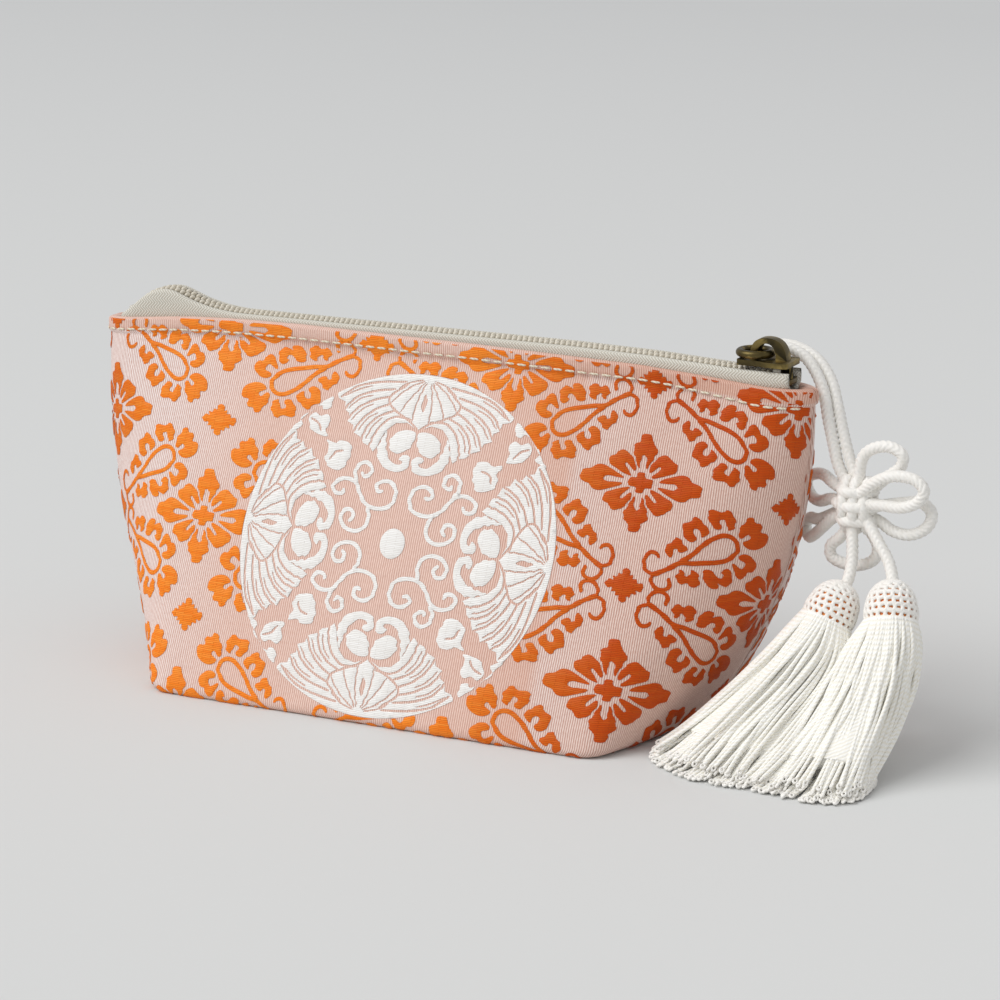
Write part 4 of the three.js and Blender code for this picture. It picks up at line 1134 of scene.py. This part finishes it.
medallion_shapes, medallion_cuts = [], []
arc = [(MEDALLION_RADIUS * math.sin(a), MEDALLION_RADIUS * math.cos(a)) for a in np.linspace(0, -0.61, 14)]
half_fan = arc + FAN
for quarter in range(4):
    whole_fan = half_fan + mirrored(half_fan[1:-1], -1, 1)[::-1]
    medallion_shapes.append(turned_quarter(whole_fan, quarter))
    medallion_cuts.append(turned_quarter(closed_curve(BUD_SLOT), quarter))
    for side in (1, -1):
        for shape in (OVAL, HOOK):
            medallion_shapes.append(turned_quarter(closed_curve(mirrored(shape, side)), quarter))
        for line in FAN_LINES:
            medallion_cuts.append(turned_quarter(stroke(mirrored(line, side), 0.6), quarter))
        for line in FAN_HAIRS:
            medallion_cuts.append(turned_quarter(stroke(mirrored(line, side), 0.42, ends=0.3), quarter))
for sx in (1, -1):
    for sy in (1, -1):
        medallion_shapes += [stroke(mirrored(line, sx, sy), 1.05) for line in SCROLLS]
        medallion_shapes += [closed_curve(mirrored(leaf, sx, sy)) for leaf in CORNER_LEAVES]
        medallion_cuts += [stroke(mirrored(line, sx, sy), 0.6) for line in LEAF_CUTS]
medallion_shapes.append([(3.5 * math.cos(a), 3.9 * math.sin(a)) for a in np.linspace(0, 2 * math.pi, 28)[:-1]])
spots, triangles, edge = fill(medallion_shapes, medallion_cuts, grid=1.2)
points, faces, uv = [], [], []
for (x, y), rim_point in zip(spots, edge):
    s = MEDALLION_AT[0] + x * math.cos(PATTERN_TILT) - y * math.sin(PATTERN_TILT)
    t = MEDALLION_AT[1] + x * math.sin(PATTERN_TILT) + y * math.cos(PATTERN_TILT)
    points.append(on_cloth(s, t) + cloth_normal(s, t) * (FLOAT_EDGE if rim_point else FLOAT_CROWN))
    uv.append((s, t))
white_satin = satin("white_silk_floats", "#FDFCFA", "#F4F2EE", "#D9CFC6")
medallion = uv_piece("brocade_medallion", points, [tuple(int(v) for v in t) for t in triangles], uv, white_satin)
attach(medallion, "pouch")

# Lining: plain cotton, cut a little smaller than the shell and hung inside it
cotton, tree = new_finish("plain_woven_cotton")
weft = texture(tree, "Wave", {"Scale": 400.0}, bands_direction="Z")
warp = texture(tree, "Wave", {"Scale": 400.0}, bands_direction="X")
cross = maths(tree, "MULTIPLY", weft.outputs["Fac"], warp.outputs["Fac"])
tone = tint(tree, cross, "#D8CBB8", "#EDE3D4")
bump = relief(tree, cross, 0.3, 0.0002)
end_finish(tree, {"Base Color": tone, "Roughness": 0.85, "Normal": bump})
lining_rows = [(2.6, 5.2)] + [(z, 2.6) for z in np.linspace(5.2, 76.4, 16)] + [(77, 2.8), (77, 3.2)]
lining_rows += [(z, 3.4) for z in np.linspace(76.4, 6, 16)] + [(3.4, 5.0)]
points = []
for z, inset in lining_rows:
    quarter = quarter_outline(z, inset, (8, 6, 6))
    lap = [(p.x, -p.y, z) for p in quarter] + [(p.x, p.y, z) for p in quarter[-2::-1]]
    lap += [(-x, -y, z) for x, y, z in lap[1:-1]]
    points += lap
lining = make_piece("cotton_lining", points, loft_faces(len(lining_rows), len(lap)), cotton)
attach(lining, "pouch")
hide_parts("lining")

# Top stitching: one row of off-white thread 3.4 mm below the rim, a little lower at the slider's
# end, which holds the turned edge and the zip tape. Lockstitches 2.5 mm long, 0.8 mm apart.
STITCH_PITCH = 3.3
STITCH_DROP = 3.4
sewing_thread, tree = new_finish("polyester_sewing_thread")
twist = texture(tree, "Wave", {"Scale": 500.0}, bands_direction="DIAGONAL")
tone = tint(tree, twist.outputs["Fac"], "#CFC2A8", "#EBE3D0")
bump = relief(tree, twist.outputs["Fac"], 0.4, 0.0001)
end_finish(tree, {"Base Color": tone, "Roughness": 0.5, "Normal": bump})


def rod_part(name, length, width, height, finish):
    """Short rod with rounded ends, lying along X."""
    points = []
    stops = [(-0.5, 0.25), (-0.42, 0.7), (-0.25, 0.95), (0, 1), (0.25, 0.95), (0.42, 0.7), (0.5, 0.25)]
    for share, swell in stops:
        for k in range(6):
            turn = 2 * math.pi * k / 6
            points.append((share * length, width / 2 * swell * math.cos(turn), height / 2 * swell * math.sin(turn)))
    return make_piece(name, points, loft_faces(len(stops), 6), finish)


spots = []
reach = half_width(PANEL_TOP) - 1.5
for back in (False, True):
    for k in range(int(2 * reach / STITCH_PITCH) + 1):
        s = -reach + STITCH_PITCH * k
        drop = STITCH_DROP + 1.5 * min(max((s - 60) / 30, 0), 1)
        ends = [on_cloth(s + d, rim_t(s + d, back) - drop, back) for d in (-1, 1)]
        out = cloth_normal(s, rim_t(s, back) - drop, back)
        spots.append((ends[0].lerp(ends[1], 0.5) + out * (0.3 + roll(drop)), (ends[1] - ends[0]).normalized(), out))
stitch = rod_part("stitch", 2.5, 0.62, 0.5, sewing_thread)
stitches = lay_parts("top_stitches", spots, stitch, sewing_thread)
bpy.data.objects.remove(stitch)
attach(stitches, "pouch")

# Zip tapes: woven polyester in a herringbone, off-white. Each is tucked inside the rim, rises
# past the slider and turns in to its half of the coil.
CHAIN_Z = 90.4
HUMP_X, HUMP_HEIGHT, HUMP_SPREAD, END_DROP = -82, 4.2, 9, 3.2
SLIDER_NOSE = 94.7
WEDGE_LENGTH, WEDGE_WIDTH = 5, 2.6
COIL_WIDTH, COIL_THICK, COIL_SPLIT, COIL_PITCH = 2.7, 2.5, 0.3, 1.5
CHAIN_LEFT, COIL_END = -91.5, 90
TAPE_THICK, TAPE_HALF_GAP, TAPE_END = 0.7, 4.4, 95
CHAIN_ARCH_X = [-97, -93, -86, -80, -70, -60, 35, 58, 72, 80]
CHAIN_ARCH = [0, 0.4, 1.5, 2, 2.2, 1.5, 1.5, 1.1, 0.4, 0]


def smoothstep(x, low, high):
    t = min(max((x - low) / (high - low), 0), 1)
    return t * t * (3 - 2 * t)


def chain_height(x):
    """The CAD's chain, with the arch of the rim that carries it."""
    hump = HUMP_HEIGHT * math.exp(-(((x - HUMP_X) / HUMP_SPREAD) ** 2))
    arch = float(np.interp(x, CHAIN_ARCH_X, CHAIN_ARCH))
    return CHAIN_Z + arch + hump - END_DROP * smoothstep(-x, -HUMP_X + 0.5 * HUMP_SPREAD, MOUTH_LENGTH / 2)


def coil_centre(x):
    parting = smoothstep(x, SLIDER_NOSE - WEDGE_LENGTH - 2, SLIDER_NOSE - 1)
    return COIL_SPLIT / 2 + COIL_WIDTH / 2 + WEDGE_WIDTH / 2 * parting


def depth_at(x, z, inset):
    quarter = quarter_outline(z, inset)[:-1]
    return float(np.interp(abs(x), [p.x for p in quarter], [p.y for p in quarter]))


def tape_section(x):
    outer = max(TAPE_THICK + 0.6, depth_at(x, HEIGHT, CLOTH_WALL) - 0.3)
    tuck = min(outer, depth_at(x, HEIGHT - 6, CLOTH_WALL) - 0.3)
    rise = chain_height(x)
    top = rise + TAPE_THICK / 2
    flare = max(rise - COIL_THICK - 0.3, HEIGHT + 1.2)
    edge = min(coil_centre(x) + COIL_WIDTH / 2 + 0.3, TAPE_HALF_GAP - 0.2)
    return [(tuck, HEIGHT - 6), (outer, HEIGHT), (TAPE_HALF_GAP - 0.1, flare), (TAPE_HALF_GAP, top - 0.9),
            (TAPE_HALF_GAP - 0.12, top - 0.45), (TAPE_HALF_GAP - 0.45, top - 0.1), (TAPE_HALF_GAP - 0.8, top),
            (edge, top), (edge, top - TAPE_THICK), (TAPE_HALF_GAP - TAPE_THICK, top - TAPE_THICK - 0.2),
            (TAPE_HALF_GAP - TAPE_THICK, flare + 0.2), (outer - TAPE_THICK, HEIGHT + 0.2),
            (tuck - TAPE_THICK, HEIGHT - 6)]


zip_tape, tree = new_finish("herringbone_polyester_tape")
cloth_uv = add(tree, "ShaderNodeUVMap", uv_map="weave")
parts = add(tree, "ShaderNodeSeparateXYZ", {"Vector": cloth_uv})
# Herringbone columns 1.3 mm wide, with ribs 0.6 mm apart that change slope from one to the next
column = maths(tree, "PINGPONG", parts.outputs["Y"], 1.3)
rib = maths(tree, "ADD", parts.outputs["X"], column)
rib_run = maths(tree, "MULTIPLY", rib, 2 * math.pi / 0.85)
rib_wave = maths(tree, "SINE", rib_run)
rib_fac = remap(tree, rib_wave, -1.0, 1.0)
grain = add(tree, "ShaderNodeTexNoise", {"Vector": cloth_uv, "Scale": 3.0, "Detail": 2.0})
height = maths(tree, "ADD", rib_fac, grain.outputs["Fac"])
tone = tint(tree, rib_fac, "#BDB7A8", "#E6E3D9")
bump = relief(tree, height, 0.5, 0.0002)
end_finish(tree, {"Base Color": tone, "Roughness": 0.8, "Normal": bump})

stations = np.linspace(-TAPE_END, TAPE_END, 150)
for half, side in (("front", -1), ("back", 1)):
    points, uv = [], []
    for x in stations:
        section = tape_section(x)
        run = np.concatenate([[0], np.cumsum([math.dist(a, b) for a, b in zip(section, section[1:])])])
        lap = list(zip(section, run))
        if side < 0:
            lap = lap[::-1]
        points += [(x, side * y, z) for (y, z), _ in lap]
        uv += [(x, r) for _, r in lap]
    tape = uv_piece(f"zip_tape_cloth_{half}", points, loft_faces(len(stations), len(section)), uv, zip_tape)
    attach(tape, "pouch")
    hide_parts(f"zip_tape_{half}")

# Zip coil: nylon monofilament wound over a cord and sewn to each tape, so that the closed
# chain shows as two rows of small rounded bars. The coil parts round the slider's wedge.
nylon, tree = new_finish("moulded_nylon_coil")
cloudy = texture(tree, "Noise", {"Scale": 600.0, "Detail": 1.0})
tone = tint(tree, cloudy.outputs["Fac"], "#D3CAB6", "#E6DFD0")
end_finish(tree, {"Base Color": tone, "Roughness": 0.35, "Coat Weight": 0.1})
coil_bar = rod_part("coil_bar", 2.1, 1.3, 1.55, nylon)
for half, side in (("front", -1), ("back", 1)):
    spots = []
    count = round((COIL_END - CHAIN_LEFT) / COIL_PITCH)
    for k in range(count):
        x = CHAIN_LEFT + (k + (0.5 if side > 0 else 0.25)) * COIL_PITCH
        lean = (chain_height(x + 0.5) - chain_height(x - 0.5))
        up = Vector((-lean, 0, 1)).normalized()
        spots.append(((x, side * (coil_centre(x) - 0.2), chain_height(x)), Vector((0, 1, 0)), up))
    coil = lay_parts(f"coil_teeth_{half}", spots, coil_bar, nylon)
    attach(coil, "pouch")
    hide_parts(f"zip_coil_{half}")
bpy.data.objects.remove(coil_bar)

# Slider and ring: zinc castings with an antique brass finish, dark in the hollows and rubbed
# to pale gold along the edges. The edges are rounded by the casting.
antique_brass, tree = new_finish("antique_brass_casting")
shape = add(tree, "ShaderNodeNewGeometry")
worn = remap(tree, shape.outputs["Pointiness"], 0.5, 0.58)
patches = texture(tree, "Noise", {"Scale": 420.0, "Detail": 4.0})
rubbed = maths(tree, "MULTIPLY", worn, patches.outputs["Fac"])
rubbed_edge = maths(tree, "MULTIPLY", rubbed, 1.6, use_clamp=True)
tone = tint(tree, rubbed_edge, "#2E2A20", "#93814F")
rough = remap(tree, patches.outputs["Fac"], 0.0, 1.0, 0.28, 0.5)
bump = relief(tree, patches.outputs["Fac"], 0.12, 0.0002)
end_finish(tree, {"Base Color": tone, "Metallic": 1.0, "Roughness": rough, "Normal": bump})


def softened_copy(node, name, finish, width):
    """Copy of a CAD node with its corners rounded over."""
    source = next(o for o in bpy.data.objects if o.name == node)
    shape = bmesh.new()
    shape.from_mesh(source.data)
    bmesh.ops.remove_doubles(shape, verts=shape.verts, dist=1e-6)
    bmesh.ops.dissolve_limit(shape, angle_limit=math.radians(1), verts=shape.verts, edges=shape.edges)
    mesh = bpy.data.meshes.new(name)
    shape.to_mesh(mesh)
    shape.free()
    mesh.materials.clear()
    mesh.materials.append(finish)
    piece = bpy.data.objects.new(name, mesh)
    scene.collection.objects.link(piece)
    rounding = piece.modifiers.new("rounding", "BEVEL")
    rounding.width = width * MM
    rounding.segments = 3
    rounding.limit_method = "ANGLE"
    rounding.angle_limit = math.radians(30)
    rounding.use_clamp_overlap = True
    bpy.context.view_layer.update()
    done = bpy.data.meshes.new_from_object(piece.evaluated_get(bpy.context.evaluated_depsgraph_get()))
    piece.modifiers.clear()
    piece.data = done
    done.polygons.foreach_set("use_smooth", [True] * len(done.polygons))
    return piece


slider = softened_copy("slider_body", "brass_slider", antique_brass, 0.28)
# The flanges are filed down to the plate, which leaves room for the tape where the chain is arched
PLATE_FOOT, FLANGE_DROP, FLANGE_LEFT = 91.95, 0.92, 0.06
for corner in slider.data.vertices:
    below = PLATE_FOOT - corner.co.z / MM
    if 0 < below < FLANGE_DROP and abs(corner.co.y) > 3.2 * MM:
        corner.co.z = (PLATE_FOOT - below * FLANGE_LEFT) * MM
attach(slider, "slider")
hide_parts("slider_body")
RING_AT = Vector((84.7, 0, 94.55))
ring_shape = ring_part("brass_ring", 3.9, 1.0, sides=56, wire_sides=20)
ring_shape.data.transform(Matrix.Translation(RING_AT * MM))
ring_shape.data.materials[0] = antique_brass
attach(ring_shape, "ring")
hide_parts("pull_ring")

# Stops: clear moulded nylon crimps at both ends of the chain
clear_nylon, tree = new_finish("clear_moulded_nylon")
haze = texture(tree, "Noise", {"Scale": 500.0})
tone = tint(tree, haze.outputs["Fac"], "#BDB8AC", "#DAD6CC")
end_finish(tree, {"Base Color": tone, "Roughness": 0.18, "Coat Weight": 0.4})
for node in ("closed_end_stop", "top_stop_front", "top_stop_back"):
    stop = softened_copy(node, f"{node}_moulded", clear_nylon, 0.5)
    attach(stop, "pouch")
    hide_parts(node)

# Studio: a pale grey paper sweep, one broad soft light from the upper left front and an even
# sky. The paper's colour is painted darker towards the back of the set, a painted falloff of the light.
paper, tree = new_finish("grey_paper_sweep")
place = add(tree, "ShaderNodeTexCoord")
parts = add(tree, "ShaderNodeSeparateXYZ", {"Vector": place.outputs["Object"]})
# Painted shade: the paper darkens from #DADBDA to #C8C9C9 over 1.6 m towards the back
depth = remap(tree, parts.outputs["Y"], 0.0, 1.6)
tone = tint(tree, depth, "#DADBDA", "#C8C9C9")
end_finish(tree, {"Base Color": tone, "Roughness": 0.95, "Specular IOR Level": 0.1})
floor = make_piece("studio_floor", [(-4000, -4000, 0), (4000, -4000, 0), (4000, 4000, 0), (-4000, 4000, 0)],
                   [(0, 1, 2, 3)], paper)
world = bpy.data.worlds.new("studio_sky")
world.use_nodes = True
world.node_tree.nodes["Background"].inputs["Color"].default_value = linear("#FAFAFB")
world.node_tree.nodes["Background"].inputs["Strength"].default_value = 0.58
scene.world = world
key = bpy.data.lights.new("key_lamp", "SUN")
key.angle = math.radians(48)
key.energy = 1.75
key_lamp = bpy.data.objects.new("key_lamp", key)
key_lamp.rotation_euler = Vector((0.62, 0.62, -0.95)).to_track_quat("-Z", "Y").to_euler()
scene.collection.objects.link(key_lamp)
